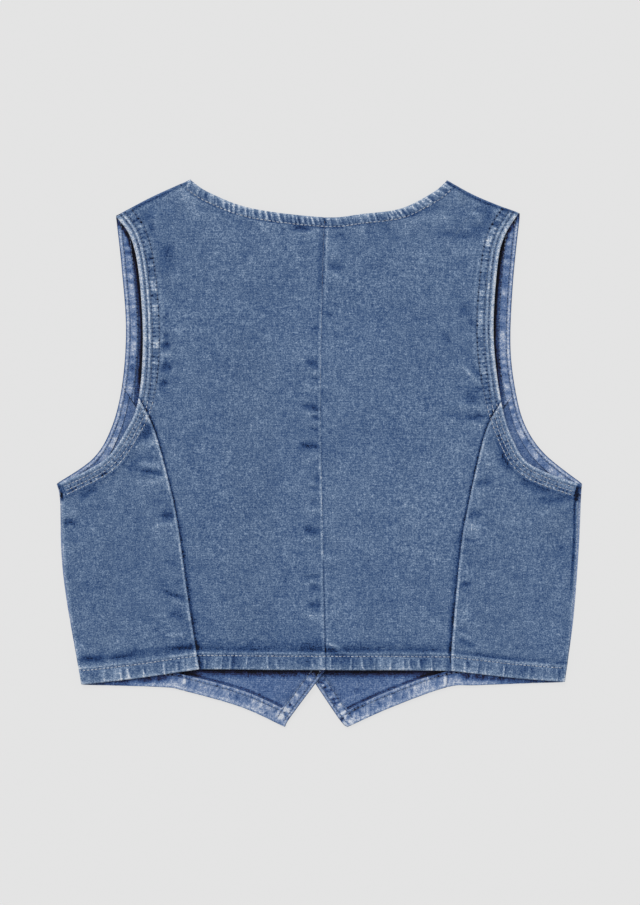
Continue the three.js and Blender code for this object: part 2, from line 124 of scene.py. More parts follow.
class Line:
    """A line of points that can be asked for the point at a distance along it."""

    def __init__(self, points):
        self.points = np.asarray(points, float)
        steps = np.linalg.norm(np.diff(self.points, axis=0), axis=1)
        self.at = np.concatenate([[0.0], np.cumsum(steps)])
        self.length = self.at[-1]

    def point(self, distance):
        return np.stack([np.interp(distance, self.at, self.points[:, k]) for k in (0, 1)], -1)

    def heading(self, distance):
        step = 0.5
        ahead = self.point(np.minimum(distance + step, self.length))
        behind = self.point(np.maximum(distance - step, 0))
        way = ahead - behind
        return way / np.linalg.norm(way, axis=-1, keepdims=True)

    def nearest(self, points):
        """How far each point lies from the line, and how far along it."""
        start, way = self.points[:-1], np.diff(self.points, axis=0)
        square = np.maximum((way ** 2).sum(1), 1e-9)
        off = np.empty(len(points))
        along = np.empty(len(points))
        for first in range(0, len(points), AT_ONCE):
            part = slice(first, first + AT_ONCE)
            some = points[part, None, :] - start[None]
            share = np.clip((some * way).sum(-1) / square, 0, 1)
            miss = ((some - share[..., None] * way) ** 2).sum(-1)
            best = miss.argmin(1)
            rows = np.arange(len(best))
            off[part] = np.sqrt(miss[rows, best])
            along[part] = self.at[best] + share[rows, best] * np.sqrt(square[best])
        return off, along


def curve(name, start=0, end=None, shift=0.0):
    """The smooth curve through an edge's rows, from one row to another, moved sideways by shift."""
    rows = np.array(EDGES[name], float)
    last = len(rows) - 1
    steps_per_row = 24
    end = last if end is None else end
    t = np.linspace(start, end, int((end - start) * steps_per_row) + 1)
    k = np.minimum(t.astype(int), last - 1)
    f = (t - k)[:, None]
    before, here = rows[np.maximum(k - 1, 0)], rows[k]
    there, after = rows[k + 1], rows[np.minimum(k + 2, last)]
    out, into = (there - before) / 2, (after - here) / 2
    points = (2 * here - 2 * there + out + into) * f ** 3
    points += (3 * there - 3 * here - 2 * out - into) * f ** 2 + out * f + here
    return Line(points + np.array([shift, 0.0]))


def chain(*lines):
    """Lines that follow each other as one."""
    return Line(np.concatenate([lines[0].points] + [line.points[1:] for line in lines[1:]]))


def divide(line, cells, first=(0, 0), last=(0, 0)):
    """So many cells along a line. The first and last few can cover a width of their own."""
    (near, near_cells), (far, far_cells) = first, last
    middle = cells - near_cells - far_cells
    stops = np.concatenate([
        np.linspace(0, near, near_cells, endpoint=False),
        np.linspace(near, line.length - far, middle, endpoint=False),
        np.linspace(line.length - far, line.length, far_cells + 1),
    ])
    return line.point(stops)


def respace(points, first, last):
    """A row of points with its outermost cells at their own width and the others kept in proportion."""
    line = Line(points)
    (near, near_cells), (far, far_cells) = first, last
    end = len(points) - 1 - far_cells
    span = line.at[end] - line.at[near_cells]
    at = near + (line.at - line.at[near_cells]) * (line.length - near - far) / span
    at[:near_cells + 1] = np.linspace(0, near, near_cells + 1)
    at[end:] = np.linspace(line.length - far, line.length, far_cells + 1)
    return line.point(at)


def shares(points):
    line = Line(points)
    return line.at / line.length


def patch(top, bottom, left, right, zones):
    """A grid of points between four edges, rows from top to bottom. A zone is the width and the cells
    of the strip beside an edge, which a turned edge or a seam takes up."""
    down = np.linspace(0, 1, len(left))[:, None]
    over = np.linspace(0, 1, len(top))[None, :]
    u = ((1 - down) * shares(top)[None, :] + down * shares(bottom)[None, :])[..., None]
    v = ((1 - over) * shares(left)[:, None] + over * shares(right)[:, None])[..., None]
    grid = (1 - v) * top[None] + v * bottom[None] + (1 - u) * left[:, None] + u * right[:, None]
    grid -= (1 - u) * ((1 - v) * top[0] + v * bottom[0]) + u * ((1 - v) * top[-1] + v * bottom[-1])
    for row in range(1, len(left) - 1):
        grid[row] = respace(grid[row], zones["left"], zones["right"])
    for column in range(1, len(top) - 1):
        grid[:, column] = respace(grid[:, column], zones["top"], zones["bottom"])
    return grid


# How the layers lie: the height of each panel's underside, as in the frame

def rise(value, start, end):
    """0 up to the start, 1 from the end on, and a smooth rise between."""
    t = np.clip((value - start) / (end - start), 0, 1)
    return t * t * (3 - 2 * t)


BUTTON_LIFT = BUTTON_THICKNESS + GAP
LAP_LIFT = 2 * LAYER
EDGE_STACK = 3 * LAYER
BODY_DOME, HEM_DOME = 3.5, 4.8
# Where each rise starts and where it's complete, across and down the vest
CLOSURE_TOP, CLOSURE_BOTTOM, BUTTONS_BOTTOM = (112, 66), (-248, -213), (-228, -182)
BUTTONS_LEFT, BUTTONS_RIGHT, LAP_LEFT = (-90, -40), (88, 36), (-82, -34)
DOME_LEFT, DOME_RIGHT, DOME_TOP, DOME_AT_HEM = (-92, -34), (74, 18), (142, 76), (-120, -180)
SIDE_ACROSS, SIDE_TOP, SIDE_BOTTOM = (185, 232), (-45, -85), (-196, -156)
SHOULDER_INNER, SHOULDER_OUTER, SHOULDER_DOWN = (124, 140), (176, 162), (212, 232)


def right_front_height(x, y):
    """The right front lies on its buttons."""
    across = rise(x, *BUTTONS_LEFT) * rise(x, *BUTTONS_RIGHT)
    return BUTTON_LIFT * across * (rise(y, *CLOSURE_TOP) * rise(y, *BUTTONS_BOTTOM))


def left_front_height(x, y):
    """The left front lies on the right one where they lap."""
    down = rise(y, *CLOSURE_TOP) * rise(y, *CLOSURE_BOTTOM)
    return right_front_height(x, y) + LAP_LIFT * rise(x, *LAP_LEFT) * down


def back_height(x, y):
    """The back lies on the fronts, higher over the closure and lower at the sides and shoulders."""
    dome = BODY_DOME + (HEM_DOME - BODY_DOME) * rise(y, *DOME_AT_HEM)
    over_closure = rise(x, *DOME_LEFT) * rise(x, *DOME_RIGHT) * rise(y, *DOME_TOP)
    out = np.abs(x)
    at_side = rise(out, *SIDE_ACROSS) * rise(y, *SIDE_TOP) * rise(y, *SIDE_BOTTOM)
    shoulder = rise(out, *SHOULDER_INNER) * rise(out, *SHOULDER_OUTER) * rise(y, *SHOULDER_DOWN)
    return EDGE_STACK + dome * over_closure - 2 * LAYER * np.maximum(at_side, shoulder)


# What sewing, washing and wear do to the cloth, and where shade is painted into it: each function gives a
# height in millimetres and a wash, which is lighter above 0 and darker below it. off is the distance from an
# edge, along the one down its length.

FAR_OFF = 60.0
NO_ROW = 99.0
NECK_ROW = NECK_TURN_WIDTH - 0.9
HEM_ROW = HEM_WIDTH - 0.3


# How many values a wave is drawn from before it repeats
KNOTS = 512


def wander(along, spacing, seed):
    """A smooth uneven wave between -1 and 1."""
    knots = np.random.default_rng(seed).uniform(-1, 1, KNOTS)
    k = np.floor(along / spacing)
    f = rise(along / spacing - k, 0, 1)
    index = k.astype(int) % (KNOTS - 1)
    return knots[index] * (1 - f) + knots[index + 1] * f


def line_at(off, place, width):
    """1 on a line beside an edge, falling softly to 0 at each side of it."""
    return np.exp(-((off - place) / width) ** 2)


def lines(off, *rows):
    """Such lines added up. Each row gives a strength, a place and a width."""
    return sum(strength * line_at(off, place, width) for strength, place, width in rows)


def repeats(along, pitch, width):
    """1 at the middle of each pitch down an edge, falling to 0 over a width that is a share of it."""
    return line_at((along / pitch) % 1.0, 0.5, width)


def ticks(off, along, length, seed, spacing, width, reach, slant=0.0):
    """Uneven puckers across a stitched band, from its edge to reach."""
    rng = np.random.default_rng(seed)
    places = []
    here = spacing * rng.uniform(0.2, 0.8)
    while here < length:
        places.append(here)
        here += spacing * rng.uniform(0.45, 1.7)
    total = np.zeros(len(off))
    for place in places:
        strength, broad = rng.uniform(0.35, 1.0), width * rng.uniform(0.75, 1.5)
        lean = slant + rng.uniform(-0.12, 0.12)
        start, stop = reach * rng.uniform(0, 0.25), reach * rng.uniform(0.75, 1.05)
        close = np.abs(along - place) < 6 * width + 2 * reach
        o = off[close]
        past = along[close] - place - lean * (o - reach / 2)
        ridge, trough = line_at(past, 0, broad), line_at(past, 2.2 * broad, 1.5 * broad)
        window = rise(o, start - 2, start) * rise(o, stop + 1.2, stop - 0.6)
        total[close] += strength * window * (ridge - 0.55 * trough)
    return total


def neck_edge(off, along, length, seed):
    """Turned in and stitched once: closely puckered, with a worn fold and a groove at its stitches."""
    row = NECK_ROW
    quiet = 1 - 0.5 * rise(along, 116, 140) * rise(along, 190, 165)
    pucker = quiet * ticks(off, along, length, seed, 4.6, 0.8, row, slant=0.35)
    within = rise(off, row + 0.6, row - 0.6)
    below = rise(off, row + 1.5, row + 3) * rise(off, 26, 12)
    wave = below * wander(along, 15, seed + 2)
    height = 0.34 * pucker + 0.25 * wave + lines(off, (0.25, row / 2, row / 2.4), (-0.35, row, 0.8))
    wash = 1.05 * pucker - within * quiet * (0.04 + 0.2 * wander(along, 17, seed + 1))
    wash += 0.10 * below + 0.20 * wave + lines(off, (0.44, 0.2, 1.9), (0.15, row, 0.7))
    return height, wash


def hem_edge(off, along, length, seed):
    """Turned up and stitched once: a worn fold, light puckers, a puffed ridge above the stitches and a
    deep blue hollow above that, which is lower on the right side panel and shallow on the left one."""
    row, part = HEM_ROW, along / length
    on_left, on_right = rise(part, 0.27, 0.22), rise(part, 0.75, 0.79)
    raised = rise(part, 0.50, 0.56) * rise(part, 0.76, 0.72)
    pucker = ticks(off, along, length, seed, 11.5, 0.75, row - 0.8)
    within = rise(off, row + 0.6, row - 0.8)
    ridge = line_at(off, row + 2.3 - 0.5 * on_right + 1.0 * raised, 1.5)
    ridge = ridge * (0.8 + 0.35 * wander(along, 22, seed + 2))
    hollow = line_at(off, row + 5.9 + 2.6 * on_left - 1.3 * on_right, 2.6 + 1.4 * on_left)
    hollow = hollow * (0.8 + 0.4 * wander(along, 26, seed + 3)) * (1 - 0.55 * on_left)
    height = 0.34 * pucker + 0.4 * ridge - 0.5 * hollow
    height += lines(off, (0.3, row / 2, row / 2.4), (-0.4, row, 0.9))
    within_wash = 0.16 * on_left + 0.09 * on_right - 0.12 + 0.26 * wander(along, 6.5, seed + 1)
    wash = 0.8 * pucker + within * within_wash
    wash += (0.38 + 0.12 * on_left + 0.24 * on_right) * ridge - 0.52 * hollow
    wash += lines(off, (0.38, 0.4, 1.2), (0.16, 2.8, 2.4), (0.10, row, 0.8),
                  (-0.20 * (1 - on_right), row + 10.5, 3.6))
    return height, wash


# The back's armhole band: how far from the edge its two rows and the pressed edge of its facing lie,
# and how far it stands off the front below it
ARMHOLE_ROWS = (3.9, 8.0)
ARMHOLE_OUTER_ROW_HIGH = 14.4
ARMHOLE_OUTER_ROW_LOW = 11.2
ARMHOLE_LIFT = 1.6


def outer_row(along, length):
    """The widest row's distance from the edge: the band narrows under the arm."""
    narrowing = ARMHOLE_OUTER_ROW_LOW - ARMHOLE_OUTER_ROW_HIGH
    return ARMHOLE_OUTER_ROW_HIGH + narrowing * rise(along / length, 0.45, 0.75)


def armhole_edge(off, along, length, seed, cord=1.25):
    """A faced band with two rows: a worn fold, a worn cord and flecked puckers between the rows."""
    last, part = outer_row(along, length), along / length
    high, under_arm = rise(part, 0.62, 0.44), rise(part, 0.50, 0.58)
    rim = 1.0 + 1.1 * high
    fleck = wander(along, 4.6, seed) * wander(along, 11, seed + 1)
    worn = 0.85 + 0.5 * wander(along, 19, seed + 4)
    uneven = 0.75 + 0.4 * wander(along, 7, seed + 2)
    within = rise(off, 8.4, 9.4) * rise(off, last + 0.4, last - 0.8)
    outside = rise(off, last + 3.4, last + 5) * rise(off, last + 15, last + 6)
    height = lines(off, (0.35, 1.2, 1.6), (0.4, 5.9, 1.1), (0.3, 11, 2.2), (-0.35, 3.9, 0.8),
                   (-0.35, 8.0, 0.8), (-0.35, last, 0.9), (0.25 * high, last + 2.8, 1.3))
    height += 0.25 * within * fleck - outside * (0.1 + 0.3 * wander(along, 24, seed + 3))
    height += ARMHOLE_LIFT * rise(off, 22, 0) * rise(part, 0.02, 0.2) * rise(part, 0.99, 0.8)
    wash = (0.46 + 0.10 * high) * rise(off, rim + 0.9, rim - 0.4)
    wash += 0.14 * rise(off, 1.8, 2.8) * rise(off, 9, 7.5) + within * (0.10 + fleck)
    wash += high * lines(off, (0.38 * worn * cord, 5.6, 0.9), (0.18, 3.9, 1.1), (0.16, last + 0.3, 1.3),
                         (0.20, last + 2.8, 1.3))
    wash += under_arm * lines(off, (0.05, 3.4, 1.3), (0.16, 0.8, 1.1), (-0.20, 9.4, 2.2))
    wash += lines(off, (-0.12, 3.9, 0.6), (uneven * (0.16 * under_arm - 0.06), last + 0.4, 1.1),
                  (-0.36 * rise(part, 0.66, 0.74), last + 2.5, 0.9))
    wash -= 0.09 * outside * rise(wander(along, 12, seed + 3), 0.0, 0.7)
    return height, wash


def flatter_armhole_edge(off, along, length, seed):
    """The right armhole's edge, whose cord is worn less."""
    return armhole_edge(off, along, length, seed, cord=0.4)


def seam_over(off, along, length, seed):
    """The side of a seam that its allowances are pressed to: a worn ridge, with soft puckers beside it."""
    roping = wander(along, 12, seed) * rise(off, 24, 2)
    worn = 0.85 + 0.35 * wander(along, 31, seed + 1)
    height = 0.35 * line_at(off, 1.2, 1.5) + 0.3 * rise(off, 11, 8) + 0.3 * roping
    return height, 0.40 * worn * line_at(off, 0.9, 1.1) + 0.12 * roping


def seam_under(off, along, length, seed):
    """The side that runs in under the ridge: a dark trough, deeper in some places, partly unfaded cloth and
    partly painted shade.
    """
    deep = 0.85 + 0.3 * wander(along, 34, seed)
    roping = wander(along, 11, seed + 1) * rise(off, 16, 1)
    lower = rise(along / length, 0.42, 0.55)
    height = 0.15 * roping - 0.30 * deep * line_at(off, 0.5, 2.2)
    return height, lines(off, (-0.64 * deep, 0.4 + 0.6 * lower, 1.7 + 0.6 * lower), (-0.16 * lower, 3.8, 2.2))


def centre_parts(along):
    """How far each point of the centre back seam is in its upper, middle and lower stretch."""
    upper, lower = rise(along, 95, 55), rise(along, 300, 330)
    return upper, 1 - upper - lower, lower


def centre_over(off, along, length, seed):
    """Right of the centre back seam."""
    upper, middle, lower = centre_parts(along)
    roping = wander(along, 12, seed) * rise(off, 22, 2)
    wash = lines(off, (0.42 * upper, 2.7, 1.2), (-0.50 * upper, 0.2, 1.4), (0.20 * lower, 1.6, 1.0),
                 (-0.22 * middle - 0.30 * lower, 0.8 * middle, 0.9))
    return 0.3 * upper * line_at(off, 2.6, 1.6) + 0.2 * roping, wash + 0.08 * roping


def centre_under(off, along, length, seed):
    """Left of the centre back seam: a worn line down its middle, and dark cloth beside its top."""
    upper, middle, lower = centre_parts(along)
    worn = 0.8 + 0.4 * wander(along, 23, seed)
    height = lines(off, (0.35 * middle, 0.7, 1.2), (-0.45 * (upper + lower), 0, 1.6))
    wash = lines(off, (0.58 * middle * worn, 0.8, 1.0), (0.45 * lower, 1.9, 1.0), (-0.5 * lower, 0, 0.9),
                 (-0.12 * (1 - lower), 2.9, 1.4))
    return height, wash - 0.22 * upper * rise(off, 7, 3)


def shoulder_edge(off, along, length, seed):
    """Sewn and pressed: a dark groove at the seam, and a light line beside it."""
    return lines(off, (-0.5, 0, 1.0), (-0.3, 3.2, 0.8)), lines(off, (-0.62, 1.0, 1.0), (0.14, 4.6, 2.0))


def side_edge(off, along, length, seed):
    """A side fold: a worn edge, dark only at the tab under the arm."""
    roping = wander(along, 14, seed) * rise(off, 12, 1)
    tab = rise(along, 17, 13)
    return 0.2 * roping, 0.12 * roping + lines(off, (0.46 * (1 - tab), 0.3, 1.1), (-0.9 * tab, 0.6, 1.3))


def parted_side_edge(off, along, length, seed):
    """The right side fold, which stands a little off the front's edge under the arm: a faint light line on its
    edge and a painted shade line just inside it there.
    """
    height, wash = side_edge(off, along, length, seed)
    return height, wash + rise(along, 110, 80) * lines(off, (0.1, 0, 1.0), (-0.95, 2.3, 1.1))


# The rows of stitches on the fronts' bands, what those bands look like on each face, and how far apart
# the marks on them are
FRONT_ARMHOLE_ROWS = (3.2, 10.0)
FRONT_EDGE_ROWS = (2.6, 9.4)
FRONT_HEM_ROW = FRONT_HEM_WIDTH - 2.7
SPOT_PITCH, LINK_PITCH, MARK_PITCH = 8.7, 5.2, 9.2


def front_band(off, along, length, seed):
    """The outside of a front's faced edge: a worn fold with a painted shade line along its very edge, and
    puckers between its two rows.
    """
    pucker = ticks(off, along, length, seed, 8.0, 0.9, 9.0)
    height = 0.2 * pucker + lines(off, (-0.3, 3.0, 0.8), (-0.3, 9.8, 0.9))
    return height, 0.5 * pucker + lines(off, (0.45, 1.6, 1.0), (-0.45, 0, 0.7), (-0.3, 11.2, 1.0))


def front_hem(off, along, length, seed):
    """The outside of a front's hem: as the back's, with its row a little nearer the edge."""
    return hem_edge(off * HEM_ROW / FRONT_HEM_ROW, along, length, seed)


def facing_face(off, along, length, seed):
    """A facing seen from inside the vest: a worn rim with a thin painted shade line along its very edge, then
    pale spots between its rows. Fewer show under the arm."""
    part = along / length
    under_arm = rise(part, 0.50, 0.62)
    spot = repeats(along + 1.6 * wander(along, 9, seed), SPOT_PITCH, 0.17) * line_at(off, 6.6, 1.9)
    spot = spot * (1 - 0.7 * under_arm) * (0.70 + 0.7 * wander(along, 13, seed + 2))
    fleck = wander(along, 3.4, seed + 1) * line_at(off, 6.6, 3.0)
    height = 0.25 * spot + lines(off, (0.25, 1.4, 1.5), (-0.3, 3.2, 0.8))
    wash = 0.46 * spot + 0.5 * fleck - 0.30 * rise(off, 8.6, 11.2) * rise(part, 0.62, 0.5)
    wash += (0.18 + 0.10 * under_arm) * rise(off, 2.6, 4.2) + lines(off, (0.78, 1.5, 1.2), (-0.15, 0, 0.6))
    return height, wash


def turning_face(off, along, length, seed):
    """A front edge's turning seen from inside: puckered like a chain between its rows."""
    pucker = ticks(off, along, length, seed, 4.6, 0.8, 9.0, slant=0.5)
    lean = along + 2.5 * wander(along, 7, seed + 3) + 0.8 * off
    links = repeats(lean, LINK_PITCH, 0.22) * line_at(off, 6, 2.6) * wander(along, 6, seed + 2)
    flecks = wander(along, 2.6, seed + 1) * rise(off, 2, 4) * rise(off, 11, 8.5)
    height = 0.3 * pucker + 0.2 * links + lines(off, (0.3, 1.2, 1.4), (-0.3, 2.6, 0.7))
    wash = 0.45 * pucker + 1.3 * links + 0.6 * flecks + 0.10 * rise(off, 1.4, 3) + 0.16 * rise(off, 7, 9)
    return height, wash + lines(off, (0.45, 0.8, 1.1), (0.12, 6.5, 3), (-0.3, 10.6, 0.8))


def hem_face(off, along, length, seed):
    """A front's turned hem seen from inside: dark marks under a ticked, pale top edge."""
    row = FRONT_HEM_ROW
    mark = repeats(along + 3.0 * wander(along, 12, seed), MARK_PITCH, 0.2) * line_at(off, 7.4, 2.6)
    mark = mark * (0.55 + 0.8 * wander(along, 11, seed + 3))
    tick = ticks(off, along, length, seed + 2, 3.2, 0.7, row + 1.8) * rise(off, row - 1.2, row)
    streak = ticks(off, along, length, seed + 4, 3.6, 0.8, row - 1, slant=0.5)
    within = rise(off, 0.5, 2.0) * rise(off, row, row - 1.5)
    height = 0.1 * tick + 0.15 * streak - 0.3 * mark + 0.25 * line_at(off, row + 0.6, 1.0)
    wash = within * (0.34 + 0.24 * wander(along, 6.4, seed + 1)) + 0.14 * rise(off, 5, 9)
    wash += 0.8 * tick + 0.34 * streak - 0.62 * mark + lines(off, (0.40, 1.0, 1.6), (0.50, row + 1.9, 1.2))
    return height, wash


def painted_shadow_by_hem_band(off, along, length, seed):
    """A painted shadow line on a front's inside beside its hem band's top edge, with a faint lighter stretch
    past it.
    """
    return 0 * off, lines(off, (0.12, FRONT_HEM_WIDTH + 5.5, 2.5), (-0.75, FRONT_HEM_WIDTH + 1.4, 1.0))


def beside_back(off, along, length, seed):
    """The worn strip of a front's inside that shows past the back's side."""
    return 0 * off, 0.4 * rise(along, 150, 120) * rise(along, 14, 18) * rise(off, 7, 5)


def painted_armhole_shadow(off, along, length, seed):
    """Painted shadow that the back's armhole edge casts on the front below it, fading out towards the
    underarm.
    """
    high = 1 - rise(along / length, 0.5, 0.66)
    return 0 * off, -high * (0.42 * rise(off, 6.6, 4.0) + 0.75 * rise(off, 4.8, 2.8))


def painted_shadow_under_hem(off, along, length, seed):
    """Painted shadow on the front under the back's hem."""
    return 0 * off, -0.95 * rise(off, 9.4, 3.0)


# Creases and washed patches of the back, listed one by one: the middle, the angle from X in degrees, the
# length, the width across and the wash, which a dark trough has below 0 and a light ridge above it
CREASES = [
    # By the left princess seam
    (-158, 20, 45, 18, 4.5, -0.60),
    (-158, 8, 14, 26, 3.2, 0.32),
    (-158, -5, 0, 26, 3.0, -0.25),
    (-154, -11, -2, 20, 1.8, 0.21),
    (-153, -17.3, -4, 20, 2.2, -0.75),
    (-154, -25.5, 0, 28, 3.6, 0.24),
    (-142.5, -34.7, 0, 7, 1.6, -0.40),
    (-139, -57, -20, 12, 4.5, -0.62),
    (-142, -66, 8, 24, 1.8, 0.29),
    (-136, -101, -14, 18, 1.8, -0.32),
    (-133, -112, -6, 16, 3.4, 0.15),
    (-133, -129, -18, 22, 2.0, -0.55),
    (-128, -137, -12, 17, 2.6, 0.24),
    (-129, -149, 0, 17, 3.6, -0.42),
    (-129, -165, -4, 22, 1.8, 0.29),
    (-124, -177, 4, 24, 2.2, -0.50),
    (-207, -188, -4, 22, 3.0, -0.49),
    (-180, -186, 8, 26, 2.2, -0.35),
    # Under the left arm
    (-211, -36, 22, 18, 3.5, -0.50),
    (-169, -12, 60, 12, 5.0, -0.35),
    (-228, -64, 0, 14, 2.6, -0.60),
    (-226, -56, 4, 16, 3.0, 0.17),
    # Left of the centre back seam
    (-4, 113, 0, 8, 2.2, -0.40),
    (-6.5, 82, 0, 12, 3.4, -0.50),
    (-5, 74, 0, 11, 1.6, 0.28),
    (-3.5, 68.5, 0, 7, 2.0, -0.45),
    (-8, 60, 3, 18, 3.2, 0.20),
    (-8, 42, -4, 16, 3.0, -0.60),
    (-7, 36.5, 0, 13, 1.5, 0.28),
    (-3.5, 32, 0, 8, 1.8, -0.50),
    (-5, 27.5, 0, 10, 1.6, 0.24),
    (-5, 22, 0, 10, 2.0, -0.35),
    (-9, 7.5, -6, 18, 2.8, -0.65),
    (-7, -4.5, 0, 16, 4.0, 0.21),
    (-2.5, -23, 0, 6, 3.2, -0.45),
    (-5, -29, 0, 10, 1.6, 0.17),
    (-4, -33, 0, 9, 1.8, -0.35),
    (-4, -45, 0, 9, 1.8, -0.35),
    (-6, -52, 0, 14, 2.5, 0.21),
    (-7, -71, -8, 15, 3.4, -0.60),
    (-7, -80, 0, 14, 2.6, 0.24),
    (-7, -113, 3, 17, 1.3, -0.40),
    (-7, -118, 0, 16, 1.5, 0.21),
    (-4, -123, 0, 10, 2.5, -0.45),
    (-4.5, -138, 0, 13, 3.0, -0.50),
    (-6, -148, 4, 18, 4.0, 0.24),
    (-5, -173.5, 25, 26, 6.0, -0.20),
    (13.9, -176.1, -25, 16, 1.3, 0.60),
    (135.2, -190.7, 95, 10, 2.2, -0.42),
    # Right of it
    (14, 197, 0, 20, 6.0, -0.25),
    (14, 180.5, 0, 13, 3.2, 0.22),
    (15, 171.5, 0, 14, 3.2, -0.35),
    (15, 160.5, 2, 15, 3.8, 0.21),
    (10, 150.5, 0, 6, 1.8, -0.30),
    (9, 127, 0, 5, 1.8, -0.40),
    (14.8, -177.5, -27, 22, 1.6, 0.35),
    (16.5, -183.5, -16, 26, 2.6, -0.40),
    # Below the neck's stitches
    (-15, 205.9, -3, 17, 2.6, -0.60),
    (-15, 201.5, 0, 22, 1.6, 0.29),
    (-34, 203, 90, 8, 1.8, -0.30),
    (-44, 205, 90, 8, 1.8, -0.30),
    (-56, 207, 90, 9, 1.8, -0.30),
    (-98, 222, -28, 30, 4.0, -0.28),
    (-89, 214.5, -25, 20, 1.6, 0.21),
    (-113, 220, 10, 12, 4.0, 0.21),
    (45, 204, 90, 12, 3.0, -0.30),
    (62, 206, 80, 10, 2.5, -0.28),
    (96, 221, 14, 44, 3.0, -0.34),
    (109, 213, 8, 22, 3.5, 0.21),
    # The left shoulder, and beside the left armhole's band
    (-162, 218, 20, 22, 6.0, -0.30),
    (-154, 203.5, 70, 14, 3.0, -0.30),
    (-149, 214, 80, 14, 2.0, 0.17),
    (-138, 179, 78, 26, 6.0, -0.34),
    (-132, 161, -20, 22, 6.0, 0.14),
    (-140, 122, 0, 7, 2.6, -0.35),
    (-139.5, 107.5, 0, 7, 2.0, -0.40),
    (-140, 97, 10, 8, 3.2, -0.70),
    (-140, 90.5, 6, 11, 1.6, 0.35),
    (-140, 79.5, 0, 10, 3.6, -0.55),
    (-142, 72, 0, 8, 1.5, 0.24),
    (-142, 63, -8, 8, 3.0, -0.50),
    # The right shoulder, and beside the right armhole's band
    (153, 219, -35, 20, 5.5, -0.30),
    (148, 205, -10, 22, 4.0, -0.32),
    (127.5, 200, -3, 36, 2.8, -0.32),
    (144, 216, -40, 14, 3.0, 0.21),
    (132, 185, 0, 26, 4.0, 0.14),
    (131, 131.5, 0, 7, 4.0, -0.35),
    (140, 117.7, 10, 8, 4.0, -0.45),
    (115, 105, 0, 9, 5.0, -0.25),
    (139.5, 71, -45, 24, 1.7, 0.39),
    (146, 73, -45, 18, 2.6, -0.40),
    (149, 59.5, 0, 12, 2.0, -0.50),
    (139, 52, -30, 14, 5.0, -0.35),
    (139, 42, -8, 26, 2.0, 0.32),
    (143, 33.5, 0, 18, 2.3, -0.55),
    (145, 26, -15, 14, 2.0, 0.24),
    (124, 35, 0, 18, 3.0, -0.20),
    # By the right princess seam
    (156, -6, -70, 26, 6.0, 0.24),
    (169, -2, -62, 28, 4.0, -0.50),
    (197, -31, -25, 34, 3.5, -0.50),
    (149.5, -27.5, 2, 17, 2.2, -0.60),
    (147, -36, 0, 10, 3.0, 0.21),
    (145, -47.5, 0, 9, 2.0, 0.17),
    (142.5, -54, 0, 12, 3.2, -0.42),
    (142, -67.5, 0, 15, 5.0, 0.22),
    (137, -81, -12, 13, 1.8, -0.50),
    (134, -89.5, 0, 6, 2.0, -0.40),
    (136, -107, 0, 11, 5.0, 0.15),
    (134, -119.5, 0, 12, 1.8, -0.60),
    (132, -145, 0, 12, 6.0, 0.14),
    (130, -160, 0, 9, 2.4, -0.30),
    (131, -166.5, -20, 14, 1.6, 0.32),
    (135, -174, -14, 16, 2.5, -0.45),
    (213, -42, 4, 36, 3.5, -0.45),
]
# Creases of the two fronts' outsides, which lie underneath: similar ones
FRONT_CREASES = [
    (-150, 196, -52, 34, 7.0, -0.40),
    (150, 196, 55, 30, 6.5, -0.40),
    (-146, 30, 44, 30, 4.5, -0.45),
    (-140, 18, 30, 24, 2.5, 0.28),
    (147, 28, -46, 28, 4.0, -0.45),
    (142, 14, -30, 24, 2.5, 0.28),
    (-144, -34, 6, 24, 2.4, -0.50),
    (-148, -64, 8, 24, 2.6, -0.50),
    (-146, -72, 4, 20, 2.0, 0.24),
    (-136, -110, -6, 22, 2.4, -0.40),
    (-134, -150, 5, 24, 2.8, -0.45),
    (142, -30, -6, 24, 2.6, -0.50),
    (140, -62, 4, 20, 2.0, 0.24),
    (136, -98, -6, 26, 2.6, -0.50),
    (131, -140, 6, 22, 2.4, -0.40),
    (-70, -200, -18, 40, 3.2, -0.45),
    (74, -196, 20, 36, 3.0, -0.45),
    (-30, 70, -48, 30, 3.0, -0.35),
    (28, 66, 50, 28, 3.0, -0.35),
]
# The same for the insides of the fronts' bands: worn corners and dark puckers at the points, a painted shadow
# dot in each point's corner where its folded layers meet, and the light line and patch where each princess
# seam crosses the hem
TIP_MARKS = [
    (-34.0, -238.0, 40, 16, 9.0, 0.62),
    (-37, -233, 50, 14, 1.4, -0.60),
    (-31, -240, 60, 12, 1.2, -0.45),
    # Painted shadow in the left point's corner
    (-27.6, -242.7, 60, 4, 1.8, -1.40),
    (25, -242.5, -40, 15, 9.0, 0.62),
    (31, -237, 62, 14, 1.6, -0.70),
    (26, -240, 60, 10, 1.2, -0.45),
    # Painted shadow in the right point's corner
    (20.4, -243.4, 0, 4, 2.2, -1.60),
    (38, -233, 60, 14, 4.0, -0.55),
    (-123.9, -206, 96, 13, 1.1, 0.85),
    (-130, -208, 0, 13, 11.0, 0.12),
    (115.2, -206.6, 92, 13, 1.1, 0.85),
    (123, -206.5, 0, 14, 11.0, 0.12),
]
CREASE_DEPTH = 0.8


def creased(points, creases):
    height = np.zeros(len(points))
    wash = np.zeros(len(points))
    for number, (middle_x, middle_y, degrees, length, width, tone) in enumerate(creases):
        angle = math.radians(degrees)
        x, y = points[:, 0] - middle_x, points[:, 1] - middle_y
        down = x * math.cos(angle) + y * math.sin(angle)
        across = y * math.cos(angle) - x * math.sin(angle)
        half = length / 2
        across = across + width * 0.6 * wander(down + 500, half * 0.8, 100 + number)
        shape = np.exp(-(across / width) ** 2) * rise(np.abs(down), half * 1.3, half * 0.45)
        height += CREASE_DEPTH * tone * shape
        wash += tone * shape
    return height, wash


